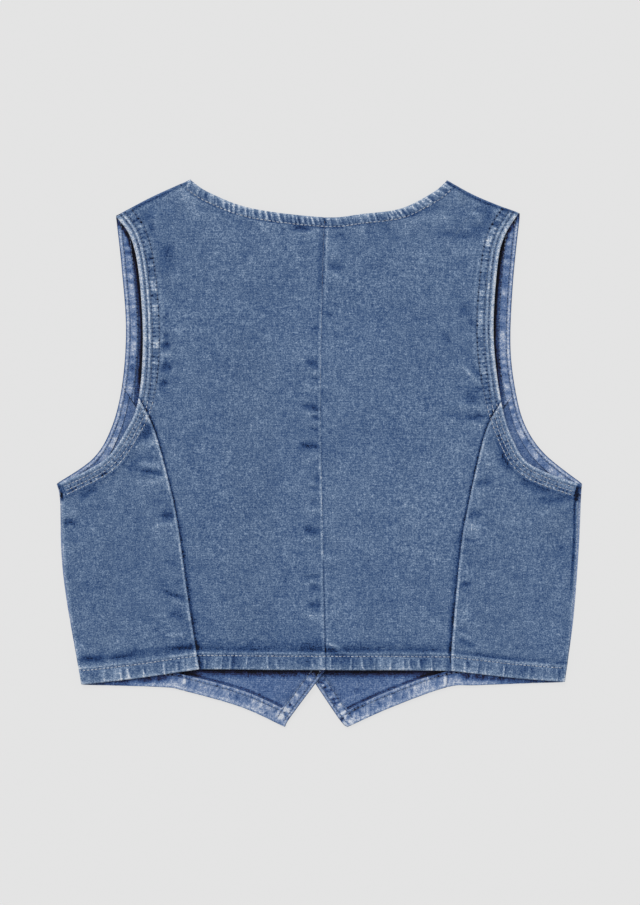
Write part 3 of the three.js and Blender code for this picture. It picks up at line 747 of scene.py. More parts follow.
def rolling(points, seed):
    """Slow uneven swells over a whole panel."""
    x, y = points[:, 0] + 400, points[:, 1] + 400
    swell = wander(x + 0.3 * y, 46, seed) * wander(y - 0.2 * x, 58, seed + 1)
    ripple = wander(y + 0.1 * x, 17, seed + 2) * wander(x, 38, seed + 3)
    return 0.45 * swell + 0.12 * ripple, 0.04 * swell + 0.03 * ripple


def rows_at(*places):
    """The same stitch rows all along an edge, at these distances from it."""
    filled = list(places) + [NO_ROW] * (3 - len(places))
    return lambda along, length: np.tile(filled, (len(along), 1))


def armhole_rows(along, length):
    fixed = np.tile(ARMHOLE_ROWS, (len(along), 1))
    return np.column_stack([fixed, outer_row(along, length)])


class Edge:
    """A line on the cloth, what sewing and wear do beside it, and the stitch rows that its holes follow.
    A seam is 1 on the side that lies over the other one, and -1 on the other."""

    def __init__(self, line, treatment, seed, rows=None, seam=0):
        self.line, self.treatment, self.seed, self.rows, self.seam = line, treatment, seed, rows, seam


class Cloth:
    """What the surface of a piece is like at any point of it."""

    def __init__(self, edges, creases=(), seed=0, swells=1.0):
        self.edges, self.creases, self.seed, self.swells = edges, creases, seed, swells

    def at(self, points):
        """The height above the plain face, the wash, and where the stitch rows and seams are."""
        height, wash = creased(points, self.creases)
        swell, tone = rolling(points, self.seed)
        height, wash = height + self.swells * swell, wash + tone
        edge = np.full((len(points), 3), FAR_OFF)
        rows = np.full((len(points), 3), NO_ROW)
        seam = np.full((len(points), 3), FAR_OFF)
        for sewn in self.edges:
            off, along = sewn.line.nearest(points)
            near = off < FAR_OFF
            more_height, more_wash = sewn.treatment(off[near], along[near], sewn.line.length, sewn.seed)
            height[near] += more_height
            wash[near] += more_wash
            if sewn.rows:
                closer = off < edge[:, 0]
                edge[closer] = np.column_stack([off, along, off])[closer]
                rows[closer] = sewn.rows(along, sewn.line.length)[closer]
            if sewn.seam:
                closer = off < seam[:, 0]
                seam[closer] = np.column_stack([off, along, np.full(len(off), sewn.seam)])[closer]
        return height, dict(wash=np.clip(wash, -1.3, 1.2), edge=edge, rows=rows, seam=seam)

    def over(self, grid):
        """The same for a whole grid."""
        height, values = self.at(grid.reshape(-1, 2))
        shape = grid.shape[:2]
        return height.reshape(shape), {key: value.reshape(shape + value.shape[1:])
                                       for key, value in values.items()}


# Meshes

def mesh_of(name, points, groups, values):
    """An object from points in millimetres, groups of faces with a finish's number, and values for the
    finish to read at each point."""
    mesh = bpy.data.meshes.new(name)
    mesh.vertices.add(len(points))
    mesh.vertices.foreach_set("co", (points * MM).astype(np.float32).ravel())
    corners = np.concatenate([faces.ravel() for faces, _ in groups]).astype(np.int32)
    sizes = np.concatenate([np.full(len(faces), faces.shape[1]) for faces, _ in groups])
    finishes = np.concatenate([np.full(len(faces), number) for faces, number in groups])
    mesh.loops.add(len(corners))
    mesh.loops.foreach_set("vertex_index", corners)
    mesh.polygons.add(len(sizes))
    mesh.polygons.foreach_set("loop_start", np.concatenate([[0], np.cumsum(sizes)[:-1]]).astype(np.int32))
    mesh.polygons.foreach_set("material_index", finishes.astype(np.int32))
    mesh.update(calc_edges=True)
    mesh.validate()
    mesh.shade_smooth()
    for key, array in values.items():
        kind, field = ("FLOAT", "value") if array.ndim == 1 else ("FLOAT_VECTOR", "vector")
        stored = mesh.attributes.new(name=key, type=kind, domain="POINT")
        stored.data.foreach_set(field, array.astype(np.float32).ravel())
    piece = bpy.data.objects.new(name, mesh)
    bpy.context.scene.collection.objects.link(piece)
    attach(piece, "root")
    return piece


def ring_of(rows, columns):
    """The points round a grid, anticlockwise seen from above, and the edge that each belongs to."""
    index = np.arange((rows + 1) * (columns + 1)).reshape(rows + 1, columns + 1)
    ring = np.concatenate([index[-1, :-1], index[::-1, -1][:-1], index[0, ::-1][:-1], index[:-1, 0]])
    edges = ["bottom"] * columns + ["right"] * rows + ["top"] * columns + ["left"] * rows
    return ring, np.array(edges)


# How an edge is finished: steps outwards and down from the outer face, as the cloth goes round it
LIPS = {
    "fold": [(0.40, 0.28), (0.66, 1.0), (0.50, 1.9), (0.05, 2.3)],
    "over": [(0.25, 0.03), (0.45, 0.30), (0.42, 0.75), (0.15, 1.0)],
    "under": [(0.08, 0.0), (0.13, 0.08), (0.13, 0.85), (0.0, 1.0)],
    "meet": [(0.22, 0.20), (0.34, 0.50), (0.22, 0.85), (0.02, 1.0)],
}
PLAIN = dict.fromkeys(("left", "right", "top", "bottom"), "under")


def quads(index):
    return np.stack([index[:-1, :-1], index[1:, :-1], index[1:, 1:], index[:-1, 1:]], -1).reshape(-1, 4)


def shell(name, grid, outer, inner, lips, values, inner_values, outer_up=True, inside=1):
    """A closed skin of cloth on a grid. Its outer face is fine, its inner one has every other point,
    and a lip of cloth goes round from one to the other."""
    rows, columns = grid.shape[0] - 1, grid.shape[1] - 1
    face = np.concatenate([grid, outer[..., None]], -1)
    back = np.concatenate([grid, inner[..., None]], -1)[::2, ::2]
    ring, edges = ring_of(rows, columns)
    rim = face.reshape(-1, 3)[ring]
    way = np.roll(rim, -1, 0) - np.roll(rim, 1, 0)
    out = np.stack([way[:, 1], -way[:, 0]], -1)
    out /= np.linalg.norm(out, axis=1, keepdims=True)
    steps = np.array([LIPS[lips[edge]] for edge in edges])
    steps = (np.roll(steps, 2, 0) + np.roll(steps, 1, 0) + steps + np.roll(steps, -1, 0)
             + np.roll(steps, -2, 0)) / 5
    down = -1.0 if outer_up else 1.0
    points = [face.reshape(-1, 3)]
    for k in range(steps.shape[1]):
        layer = rim.copy()
        layer[:, :2] += out * steps[:, k, :1]
        layer[:, 2] += down * steps[:, k, 1]
        points.append(layer)
    size = len(ring)
    first = len(points[0]) + size * np.arange(len(points) - 1)
    rings = [ring] + [start + np.arange(size) for start in first]
    back_start = len(points[0]) + size * (len(points) - 1)
    points.append(back.reshape(-1, 3))
    groups = [(quads(np.arange((rows + 1) * (columns + 1)).reshape(rows + 1, columns + 1)), 0)]
    for upper, lower in zip(rings[:-1], rings[1:]):
        groups.append((np.stack([upper, lower, np.roll(lower, -1), np.roll(upper, -1)], -1), 0))
    coarse, _ = ring_of(rows // 2, columns // 2)
    coarse = coarse + back_start
    last = rings[-1]
    start, middle, end = last[0::2], last[1::2], np.roll(last, -2)[0::2]
    following = np.roll(coarse, -1)
    sewn = [np.stack(three, -1) for three in (
        (start, coarse, middle), (middle, coarse, following), (middle, following, end))]
    groups.append((np.concatenate(sewn), inside))
    grid_back = np.arange(back.shape[0] * back.shape[1]).reshape(back.shape[:2]) + back_start
    groups.append((quads(grid_back)[:, ::-1], inside))
    if not outer_up:
        groups = [(faces[:, ::-1], number) for faces, number in groups]
    carried = {}
    for key, array in values.items():
        flat = array.reshape(len(points[0]), -1)
        within = inner_values.get(key, array)[::2, ::2].reshape(-1, flat.shape[1])
        every = np.concatenate([flat] + [flat[ring]] * (len(points) - 2) + [within])
        carried[key] = every[:, 0] if flat.shape[1] == 1 else every
    return mesh_of(name, np.concatenate(points), groups, carried)


# The panels. A zone is the strip beside an edge: its width and the cells across it, so that a turned
# edge or a seam always falls on a line of the grid.

ARMHOLE_ZONE = (ARMHOLE_FACING_WIDTH * 1.6, 16)
NECK_ZONE = (NECK_TURN_WIDTH * 1.4, 14)
HEM_ZONE = (HEM_WIDTH * 1.6, 20)
FRONT_HEM_ZONE = (FRONT_HEM_WIDTH / 14 * 18, 18)
FRONT_EDGE_ZONE = (FRONT_EDGE_WIDTH, 10)
FRONT_ARMHOLE_ZONE = (ARMHOLE_FACING_WIDTH, 10)
SEAM_ZONE = (8.0, 6)
SIDE_ZONE = (6.0, 4)
NO_ZONE = (0, 0)
ARMHOLE_CELLS, NECK_CELLS, HEM_CELLS, FRONT_HEM_CELLS = 10, 10, 12, 14

BACK_UPPER_ROWS, BACK_LOWER_ROWS = 140, 200
BACK_SHOULDER_COLUMNS, BACK_NECK_COLUMNS = 46, 104
BACK_SIDE_ROWS, BACK_SIDE_COLUMNS = 190, 90
FRONT_UPPER_ROWS, FRONT_LOWER_ROWS = 106, 194
FRONT_NECK_CELLS, FRONT_STAND_CELLS, FRONT_POINT_CELLS = 132, 124, 44
FRONT_COLUMNS = 90
FRONT_SIDE_ROWS, FRONT_SIDE_COLUMNS = 190, 66

BACK_NECK = curve("back_neck")
BACK_HEM = chain(curve("back_hem_left"), Line([(-110, -197), (6.2, -197.2)]),
                 Line([(6.2, -197.2), (120.3, -198.4)]), curve("back_hem_right"))
CENTRE_BACK = curve("centre_back")


def both_sides(name):
    return {side: curve(f"{name}_{side}") for side in ("left", "right")}


BACK_ARMHOLE, BACK_PRINCESS = both_sides("back_armhole"), both_sides("back_princess")
BACK_SHOULDER, BACK_SIDE = both_sides("back_shoulder"), both_sides("back_side")
FRONT_ARMHOLE, FRONT_PRINCESS = both_sides("front_armhole"), both_sides("front_princess")
FRONT_SHOULDER, FRONT_SIDE = both_sides("front_shoulder"), both_sides("front_side")
FRONT_HEM = both_sides("front_hem")
FRONT_EDGE = {side: chain(*[curve(f"front_{run}_{side}") for run in ("neck", "edge", "point")])
              for side in ("left", "right")}
# Half the gap at a seam, as a step towards the middle of the vest
INWARD = {"left": GAP / 2, "right": -GAP / 2}
# The row of each front hem's edge that its princess seam meets
FRONT_HEM_PRINCESS_ROW = 2


def across(side, outer, inner):
    """What belongs to a panel's outer and inner edge, as it comes from left to right."""
    return (outer, inner) if side == "left" else (inner, outer)


def ends(side, outer=NO_ZONE, inner=NO_ZONE):
    """The zones at the two ends of a row of cells."""
    first, last = across(side, outer, inner)
    return dict(first=first, last=last)


def joined(*runs):
    """Runs of points that follow each other as one."""
    return np.concatenate([runs[0]] + [run[1:] for run in runs[1:]])


def squared(side, top, bottom, outer, inner, zones):
    """A panel's grid between its edges, with its corners made to meet. The zones come in the same order."""
    above, below, outer_zone, inner_zone = zones
    left, right = across(side, outer, inner)
    top[0], top[-1], bottom[0], bottom[-1] = left[0], right[0], left[-1], right[-1]
    left_zone, right_zone = across(side, outer_zone, inner_zone)
    return patch(top, bottom, left, right, dict(top=above, bottom=below, left=left_zone, right=right_zone))


def back_centre_grid(side):
    armhole = divide(curve(f"back_armhole_{side}", end=BACK_PRINCESS_ROW), BACK_UPPER_ROWS, first=NECK_ZONE)
    princess = divide(curve(f"back_princess_{side}", shift=INWARD[side]), BACK_LOWER_ROWS, last=HEM_ZONE)
    outer = joined(armhole, princess)
    centre = divide(curve("centre_back", shift=-INWARD[side]), len(outer) - 1, first=NECK_ZONE, last=HEM_ZONE)
    half = {"end" if side == "left" else "start": BACK_NECK_CENTRE_ROW}
    neck = divide(curve("back_neck", **half), BACK_NECK_COLUMNS, **ends(side, inner=SEAM_ZONE))
    shoulder = divide(BACK_SHOULDER[side], BACK_SHOULDER_COLUMNS, **ends(side, outer=ARMHOLE_ZONE))
    top = joined(*across(side, shoulder, neck))
    hem = Line(across(side, outer[-1], centre[-1]))
    bottom = divide(hem, len(top) - 1, **ends(side, ARMHOLE_ZONE, SEAM_ZONE))
    return squared(side, top, bottom, outer, centre, (NECK_ZONE, HEM_ZONE, ARMHOLE_ZONE, SEAM_ZONE))


def side_grid(side, half, princess_row, cells, bands, hem_part):
    """A side panel of the back or front half, between its princess seam and the side, under the armhole."""
    (rows, columns), (above, below) = cells, bands
    inner = divide(curve(f"{half}_princess_{side}", shift=-INWARD[side]), rows, first=above, last=below)
    outer = divide(curve(f"{half}_side_{side}"), rows, first=above, last=below)
    armhole = curve(f"{half}_armhole_{side}", start=princess_row)
    band = divide(armhole, columns, first=SEAM_ZONE, last=SIDE_ZONE)
    hem = divide(curve(f"{half}_hem_{side}", **hem_part), columns, **ends(side, SIDE_ZONE, SEAM_ZONE))
    top = band[::-1].copy() if side == "left" else band
    return squared(side, top, hem, outer, inner, (above, below, SIDE_ZONE, SEAM_ZONE))


def back_side_grid(side):
    cells = (BACK_SIDE_ROWS, BACK_SIDE_COLUMNS)
    return side_grid(side, "back", BACK_PRINCESS_ROW, cells, (ARMHOLE_ZONE, HEM_ZONE), {})


def front_side_grid(side):
    cells = (FRONT_SIDE_ROWS, FRONT_SIDE_COLUMNS)
    hem_part = {"end" if side == "left" else "start": FRONT_HEM_PRINCESS_ROW}
    return side_grid(side, "front", FRONT_PRINCESS_ROW, cells, (FRONT_ARMHOLE_ZONE, FRONT_HEM_ZONE), hem_part)


def front_centre_grid(side):
    armhole = divide(curve(f"front_armhole_{side}", end=FRONT_PRINCESS_ROW), FRONT_UPPER_ROWS)
    seam = curve(f"front_princess_{side}", shift=INWARD[side])
    princess = divide(seam, FRONT_LOWER_ROWS, last=FRONT_HEM_ZONE)
    edge = joined(divide(curve(f"front_neck_{side}"), FRONT_NECK_CELLS),
                  divide(curve(f"front_edge_{side}"), FRONT_STAND_CELLS),
                  divide(curve(f"front_point_{side}"), FRONT_POINT_CELLS, last=FRONT_HEM_ZONE))
    bands = (FRONT_ARMHOLE_ZONE, FRONT_EDGE_ZONE)
    shoulder = divide(FRONT_SHOULDER[side], FRONT_COLUMNS, **ends(side, *bands))
    hem_part = {"start" if side == "left" else "end": FRONT_HEM_PRINCESS_ROW}
    hem = divide(curve(f"front_hem_{side}", **hem_part), FRONT_COLUMNS, **ends(side, *bands))
    return squared(side, shoulder, hem, joined(armhole, princess), edge, (NO_ZONE, FRONT_HEM_ZONE, *bands))


def cloth_area(grid):
    """A grid's area in square metres."""
    one, other = grid[1:, 1:] - grid[:-1, :-1], grid[1:, :-1] - grid[:-1, 1:]
    return float(np.abs(one[..., 0] * other[..., 1] - one[..., 1] * other[..., 0]).sum() / 2 * MM * MM)


def declare_sheet(grid, with_pieces):
    cloth_area(grid)


# How far a front's outside is pressed in, so that its creases never stand out of it
RUMPLE = 0.3
# How much of the outer face's wash reaches the back's inner face
WASH_THROUGH = 0.2


def finished(piece, node, slot, *finishes):
    """A piece with its finishes, in place of its node of the frame."""
    for finish in finishes:
        piece.data.materials.append(finish)
    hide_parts(node)
    return piece


def back_panel(name, grid, cloth, lips):
    """A back panel and the height of its inner face."""
    relief, values = cloth.over(grid)
    outer = back_height(grid[..., 0], grid[..., 1]) + CLOTH + relief
    inner = outer - CLOTH
    piece = shell(f"cloth_{name}", grid, outer, inner, lips, values, dict(wash=WASH_THROUGH * values["wash"]))
    return finished(piece, name, "denim_outside", DENIM_OUTSIDE, DENIM_INSIDE), inner


def front_inner(grid, cloth, height):
    """The height of a front's inner face, whose outside is pressed flat where it would stand out."""
    relief, _ = cloth.over(grid)
    return height(grid[..., 0], grid[..., 1]) + np.maximum(0, RUMPLE - 0.8 * relief) + CLOTH


def front_panel(name, grid, cloth, height, shade, lips):
    """A front panel, whose inner face lies up and carries its own painted shade and wear, and the height of
    that face.
    """
    _, values = cloth.over(grid)
    _, inside = shade.over(grid)
    inner = front_inner(grid, cloth, height)
    inner_values = dict(wash=inside["wash"], edge=np.full(grid.shape[:2] + (3,), FAR_OFF))
    piece = shell(f"cloth_{name}", grid, inner - CLOTH, inner, lips, values, inner_values, outer_up=False)
    return finished(piece, name, "denim_outside", DENIM_OUTSIDE, DENIM_INSIDE), inner


def turned_strip(name, grid, panel_inner, cloth, outer_up):
    """A turned edge or a facing on a panel's inner face, away from the panel by a gap."""
    relief, values = cloth.over(grid)
    up = 1 if outer_up else -1
    inner = panel_inner + up * GAP
    outer = inner + up * (CLOTH + relief)
    piece = shell(f"cloth_{name}", grid, outer, inner, PLAIN, values, {}, outer_up=outer_up, inside=0)
    return finished(piece, name, "denim_inside", DENIM_INSIDE)


def cut(grid, rows, columns):
    return grid[rows[0]:rows[1] + 1, columns[0]:columns[1] + 1]


def strips_of(grid, inner, outer_up, places):
    """Every strip of a panel, each with its cloth and the rows and columns of the grid that it takes."""
    return [turned_strip(name, cut(grid, rows, columns), cut(inner, rows, columns), cloth, outer_up)
            for name, cloth, rows, columns in places]


def cells_of(grid):
    return grid.shape[0] - 1, grid.shape[1] - 1


def beside(side, edge, cells, columns):
    """The columns of so many cells beside a panel's outer or inner edge."""
    at_left = (side == "left") == (edge == "outer")
    return (0, cells) if at_left else (columns - cells, columns)


def lips_of(side, outer, inner, top="fold"):
    """How each edge of a panel is finished."""
    left, right = across(side, outer, inner)
    return dict(top=top, bottom="fold", left=left, right=right)


def side_strips(half, side, grid, inner, facing, hem, hem_cells):
    """The turned edges of a side panel: its stretch of the armhole's facing and of the hem."""
    rows, columns = cells_of(grid)
    return strips_of(grid, inner, half == "front", [
        (f"{half}_armhole_facing_lower_{side}", facing, (0, ARMHOLE_CELLS), (0, columns)),
        (f"{half}_hem_side_{side}", hem, (rows - hem_cells, rows), (0, columns)),
    ])


FACING_MORE_ROWS = 8


def reaching_seam(strip, side):
    """A front's upper facing with more rows, that take it on below its last one as far as the seam."""
    seam, step = FRONT_PRINCESS[side], INWARD[side]
    stops = np.linspace(0, 1, FACING_MORE_ROWS + 1)[1:, None]
    depths, _ = FRONT_ARMHOLE[side].nearest(seam.points)
    seam_end = seam.at[np.argmax(depths > ARMHOLE_FACING_WIDTH)] - 0.6
    by_seam = seam.point(stops[:, 0] * seam_end) + np.array([step, 0.0])
    start = strip[-1, -1 if side == "left" else 0]
    by_panel = start + (by_seam[-1] + np.array([4 * step, -0.3]) - start) * stops
    left, right = across(side, by_seam, by_panel)
    share = np.linspace(0, 1, strip.shape[1])[None, :, None]
    return np.concatenate([strip, left[:, None] * (1 - share) + right[:, None] * share])


# What each look's random draws start from. The right side's start further on.
SEEDS = {"left": 0, "right": 500}
BACK_SWELL_SEED, INSIDE_SWELL_SEED, SHADE_SWELL_SEED, FRONT_SWELL_SEED = 5, 7, 9, 15
INSIDE_SWELLS, FRONT_SWELLS = 0.3, 0.5


def build_back(side):
    """The back's two panels on one side, each with its grid and its strips."""
    left, seed = side == "left", SEEDS[side]
    neck = Edge(BACK_NECK, neck_edge, 11, rows_at(NECK_ROW))
    hem = Edge(BACK_HEM, hem_edge, 21, rows_at(HEM_ROW))
    armhole_look = armhole_edge if left else flatter_armhole_edge
    armhole = Edge(BACK_ARMHOLE[side], armhole_look, 41 + seed, armhole_rows)
    shoulder = Edge(BACK_SHOULDER[side], shoulder_edge, 45 + seed)
    under = Edge(BACK_PRINCESS[side], seam_under, 63 + seed, seam=-1)
    over = Edge(BACK_PRINCESS[side], seam_over, 61 + seed, seam=1)
    centre = Edge(CENTRE_BACK, centre_under if left else centre_over, 81)
    side_fold = Edge(BACK_SIDE[side], side_edge if left else parted_side_edge, 91 + seed)
    inside = Cloth([], seed=INSIDE_SWELL_SEED, swells=INSIDE_SWELLS)

    grid = back_centre_grid(side)
    cloth = Cloth([neck, hem, armhole, shoulder, under, centre], CREASES, BACK_SWELL_SEED)
    piece, inner = back_panel(f"back_centre_{side}", grid, cloth, lips_of(side, "fold", "under"))
    rows, columns = cells_of(grid)
    by_neck = beside(side, "inner", BACK_NECK_COLUMNS, columns)
    by_armhole = beside(side, "outer", ARMHOLE_CELLS, columns)
    strips = strips_of(grid, inner, False, [
        (f"back_neck_turning_{side}", inside, (0, NECK_CELLS), by_neck),
        (f"back_armhole_facing_upper_{side}", inside, (NECK_CELLS, BACK_UPPER_ROWS), by_armhole),
        (f"back_hem_centre_{side}", inside, (rows - HEM_CELLS, rows), (0, columns)),
    ])
    low_grid = back_side_grid(side)
    low_cloth = Cloth([hem, armhole, over, side_fold], CREASES, BACK_SWELL_SEED)
    low_piece, low_inner = back_panel(f"back_side_{side}", low_grid, low_cloth, lips_of(side, "meet", "over"))
    low_strips = side_strips("back", side, low_grid, low_inner, inside, inside, HEM_CELLS)
    return [(piece, grid, strips), (low_piece, low_grid, low_strips)]


def build_front(side):
    """The same for a front, whose inside lies up under the back's edges."""
    seed = SEEDS[side]
    height = left_front_height if side == "left" else right_front_height
    armhole_line, edge_line, hem_line = FRONT_ARMHOLE[side], FRONT_EDGE[side], FRONT_HEM[side]
    armhole_at, edge_at = rows_at(*FRONT_ARMHOLE_ROWS), rows_at(*FRONT_EDGE_ROWS)
    hem_at = rows_at(FRONT_HEM_ROW)
    armhole = Edge(armhole_line, front_band, 141 + seed, armhole_at)
    front_edge = Edge(edge_line, front_band, 151 + seed, edge_at)
    hem = Edge(hem_line, front_hem, 121 + seed, hem_at)
    under = Edge(FRONT_PRINCESS[side], seam_under, 163 + seed, seam=-1)
    over = Edge(FRONT_PRINCESS[side], seam_over, 161 + seed, seam=1)
    side_fold = Edge(FRONT_SIDE[side], side_edge, 191 + seed)

    # Painted shadow of the back's armhole edge on the front's inside and its facing
    shadow_of_back_armhole = Edge(BACK_ARMHOLE[side], painted_armhole_shadow, 1)
    # Painted shadow of the back's hem on the front's inside, its turning and its hem band
    back_hem_shadow = Edge(BACK_HEM, painted_shadow_under_hem, 1)
    hem_band_shadow, past_side = Edge(hem_line, painted_shadow_by_hem_band, 1), Edge(BACK_SIDE[side], beside_back, 1)

    def seen_inside(edges, creases=()):
        return Cloth(edges, creases, SHADE_SWELL_SEED, INSIDE_SWELLS)

    # The front's inner face: painted shadows beside the back's armhole and hem and beside the hem band, and a
    # worn strip past the back's side
    shade = seen_inside([shadow_of_back_armhole, back_hem_shadow, hem_band_shadow, past_side])
    facing_cloth = seen_inside([Edge(armhole_line, facing_face, 171 + seed, armhole_at), shadow_of_back_armhole])
    turning_cloth = seen_inside([Edge(edge_line, turning_face, 175 + seed, edge_at), back_hem_shadow], TIP_MARKS)
    hem_cloth = seen_inside([Edge(hem_line, hem_face, 179 + seed, hem_at), back_hem_shadow], TIP_MARKS)

    grid = front_centre_grid(side)
    cloth = Cloth([armhole, front_edge, hem, under], FRONT_CREASES, FRONT_SWELL_SEED, FRONT_SWELLS)
    lips = lips_of(side, "fold", "fold", top="meet")
    piece, inner = front_panel(f"front_centre_{side}", grid, cloth, height, shade, lips)
    rows, columns = cells_of(grid)
    facing = cut(grid, (0, FRONT_UPPER_ROWS), beside(side, "outer", ARMHOLE_CELLS, columns))
    facing = reaching_seam(facing, side)
    strips = [turned_strip(f"front_armhole_facing_upper_{side}", facing, front_inner(facing, cloth, height),
                           facing_cloth, outer_up=True)]
    by_edge = beside(side, "inner", ARMHOLE_CELLS, columns)
    up_to_edge = beside(side, "outer", columns - ARMHOLE_CELLS, columns)
    strips += strips_of(grid, inner, True, [
        (f"front_edge_turning_{side}", turning_cloth, (0, rows), by_edge),
        (f"front_hem_centre_{side}", hem_cloth, (rows - FRONT_HEM_CELLS, rows), up_to_edge),
    ])
    low_grid = front_side_grid(side)
    low_cloth = Cloth([armhole, hem, over, side_fold], FRONT_CREASES, FRONT_SWELL_SEED, FRONT_SWELLS)
    low_piece, low_inner = front_panel(f"front_side_{side}", low_grid, low_cloth, height, shade,
                                       lips_of(side, "meet", "over"))
    low_strips = side_strips("front", side, low_grid, low_inner, facing_cloth, hem_cloth, FRONT_HEM_CELLS)
    return [(piece, grid, strips), (low_piece, low_grid, low_strips)]


# Finishes

def linear(shade):
    """A colour given as 0 to 255 as on a screen, for a shader."""
    parts = [value / 255 for value in shade]
    return [part / 12.92 if part <= 0.04045 else ((part + 0.055) / 1.055) ** 2.4 for part in parts] + [1.0]


class Finish:
    """A material and the nodes that make it."""

    def __init__(self, name):
        self.material = bpy.data.materials.new(name)
        self.material.use_nodes = True
        self.tree = self.material.node_tree
        self.tree.nodes.clear()

    def node(self, kind, settings=None, sockets=None):
        """One node: its settings are set first, then the values or links of its sockets."""
        node = self.tree.nodes.new(kind)
        for name, value in (settings or {}).items():
            if name == "stops":
                self.set_stops(node.color_ramp.elements, value)
            else:
                setattr(node, name, value)
        for name, value in (sockets or {}).items():
            if isinstance(value, Wire):
                value = value.socket
            if isinstance(value, bpy.types.NodeSocket):
                self.tree.links.new(value, node.inputs[name])
            else:
                node.inputs[name].default_value = value
        return node

    @staticmethod
    def set_stops(elements, stops):
        while len(elements) < len(stops):
            elements.new(0.5)
        for element, (place, shade) in zip(elements, stops):
            element.position = place
            element.color = linear(shade)

    def wire(self, kind, settings=None, sockets=None, output=0):
        return Wire(self, self.node(kind, settings, sockets).outputs[output])

    def wave(self, direction, sockets):
        """Bands between 0 and 1 across a direction, over the piece's own place."""
        return self.wire("ShaderNodeTexWave", {"bands_direction": direction}, sockets)

    def noise(self, scale, detail=0.0, stretch=(1.0, 1.0, 1.0), roughness=0.5):
        """Noise between about 0.2 and 0.8, over the piece's own place."""
        place = self.node("ShaderNodeTexCoord").outputs["Object"]
        drawn = self.wire("ShaderNodeVectorMath", {"operation": "MULTIPLY"}, {0: place, 1: stretch})
        return self.wire("ShaderNodeTexNoise", {"noise_dimensions": "3D"},
                         {"Vector": drawn, "Scale": scale, "Detail": detail, "Roughness": roughness})

    def carried(self, name):
        """A number that the mesh carries at each of its points."""
        return self.wire("ShaderNodeAttribute", {"attribute_name": name}, output=2)

    def carried_three(self, name):
        node = self.node("ShaderNodeAttribute", {"attribute_name": name})
        parts = self.node("ShaderNodeSeparateXYZ", None, {0: node.outputs[1]})
        return [Wire(self, output) for output in parts.outputs]

    def blended(self, share, one, other):
        sockets = {0: share, 6: one, 7: other}
        return self.node("ShaderNodeMix", {"data_type": "RGBA"}, sockets).outputs[2]

    def surface(self, constants, sockets, bump, depth):
        normal = self.node("ShaderNodeBump", None, {"Height": bump, "Distance": depth, "Strength": 1.0})
        sockets = {**constants, **sockets, "Normal": normal.outputs[0]}
        shader = self.node("ShaderNodeBsdfPrincipled", None, sockets)
        self.node("ShaderNodeOutputMaterial", None, {"Surface": shader.outputs[0]})
        return self.material


class Wire:
    """A shader value that can be reckoned with in Python: each step adds its Math node."""

    def __init__(self, finish, socket):
        self.finish, self.socket = finish, socket

    def math(self, operation, *values):
        sockets = dict(enumerate((self,) + values))
        return self.finish.wire("ShaderNodeMath", {"operation": operation}, sockets)

    def __add__(self, other):
        return self.math("ADD", other)

    __radd__ = __add__

    def __sub__(self, other):
        return self.math("SUBTRACT", other)

    def __rsub__(self, other):
        return (self * -1) + other

    def __mul__(self, other):
        return self.math("MULTIPLY", other)

    __rmul__ = __mul__

    def fade(self, start, end):
        """0 up to the start, 1 from the end on, or the other way round where the end is less."""
        sockets = {"Value": self, "From Min": start, "From Max": end}
        return self.finish.wire("ShaderNodeMapRange", {"interpolation_type": "SMOOTHSTEP"}, sockets)

    def near(self, place, width):
        """1 at a value, falling to 0 at the width to each side of it."""
        return (self - place).math("ABSOLUTE").fade(width, 0.0)


STITCH_PITCH = 3.65
# Each face's shades, from unfaded to worn through: the tone and its colour. The darkest stops also colour the
# painted shadows beside the back's edges
OUTSIDE_SHADES = [(0.0, (8, 14, 32)), (0.13, (21, 49, 94)), (0.28, (49, 77, 120)), (0.5, (83, 106, 139)),
                  (0.75, (132, 153, 181)), (1.0, (210, 216, 225))]
INSIDE_SHADES = [(0.0, (16, 15, 26)), (0.13, (38, 44, 80)), (0.28, (49, 76, 125)), (0.5, (83, 109, 152)),
                 (0.75, (136, 153, 184)), (1.0, (206, 212, 223))]
# How fine the parts of the cloth's pattern are, for the noise and wave textures
SPECKLE_SCALE, YARN_SCALE, RIB_SCALE, TWILL_SCALE = 860.0, 520.0, 92.0, 330.0
DRIFT_SCALE, PATCH_SCALE, FLECK_SCALE, UNEVEN_SCALE = 70.0, 14.0, 210.0, 240.0
DENIM_BUMP = 0.0004


def yarns(finish):
    """The cloth's grain: a fine speckle, drawn-out warp and weft, and a faint woven grid."""
    speckle = finish.noise(SPECKLE_SCALE, 1.0) - 0.5
    warp = finish.noise(YARN_SCALE, 0.0, (1.0, 0.35, 1.0)) - 0.5
    weft = finish.noise(YARN_SCALE, 0.0, (0.35, 1.0, 1.0)) - 0.5
    ribs = {"Scale": RIB_SCALE, "Distortion": 2.4, "Detail": 2.0, "Detail Scale": 1.2}
    weave = finish.wave("X", ribs) + finish.wave("Y", ribs) - 1
    return speckle, warp + weft, weave


def seam_shade(finish):
    """Darker on the side of a seam that runs in under the other, as painted shade in its trough together with
    unfaded cloth, and lighter on the one that lies over it, where it is worn.
    """
    off, _, side = finish.carried_three("seam")
    trough = off.fade(3.4, 1.2) * (side * -0.5 + 0.5)
    crest = off.near(1.0, 1.1) * (side * 0.5 + 0.5)
    return crest * 0.08 - trough * 0.12


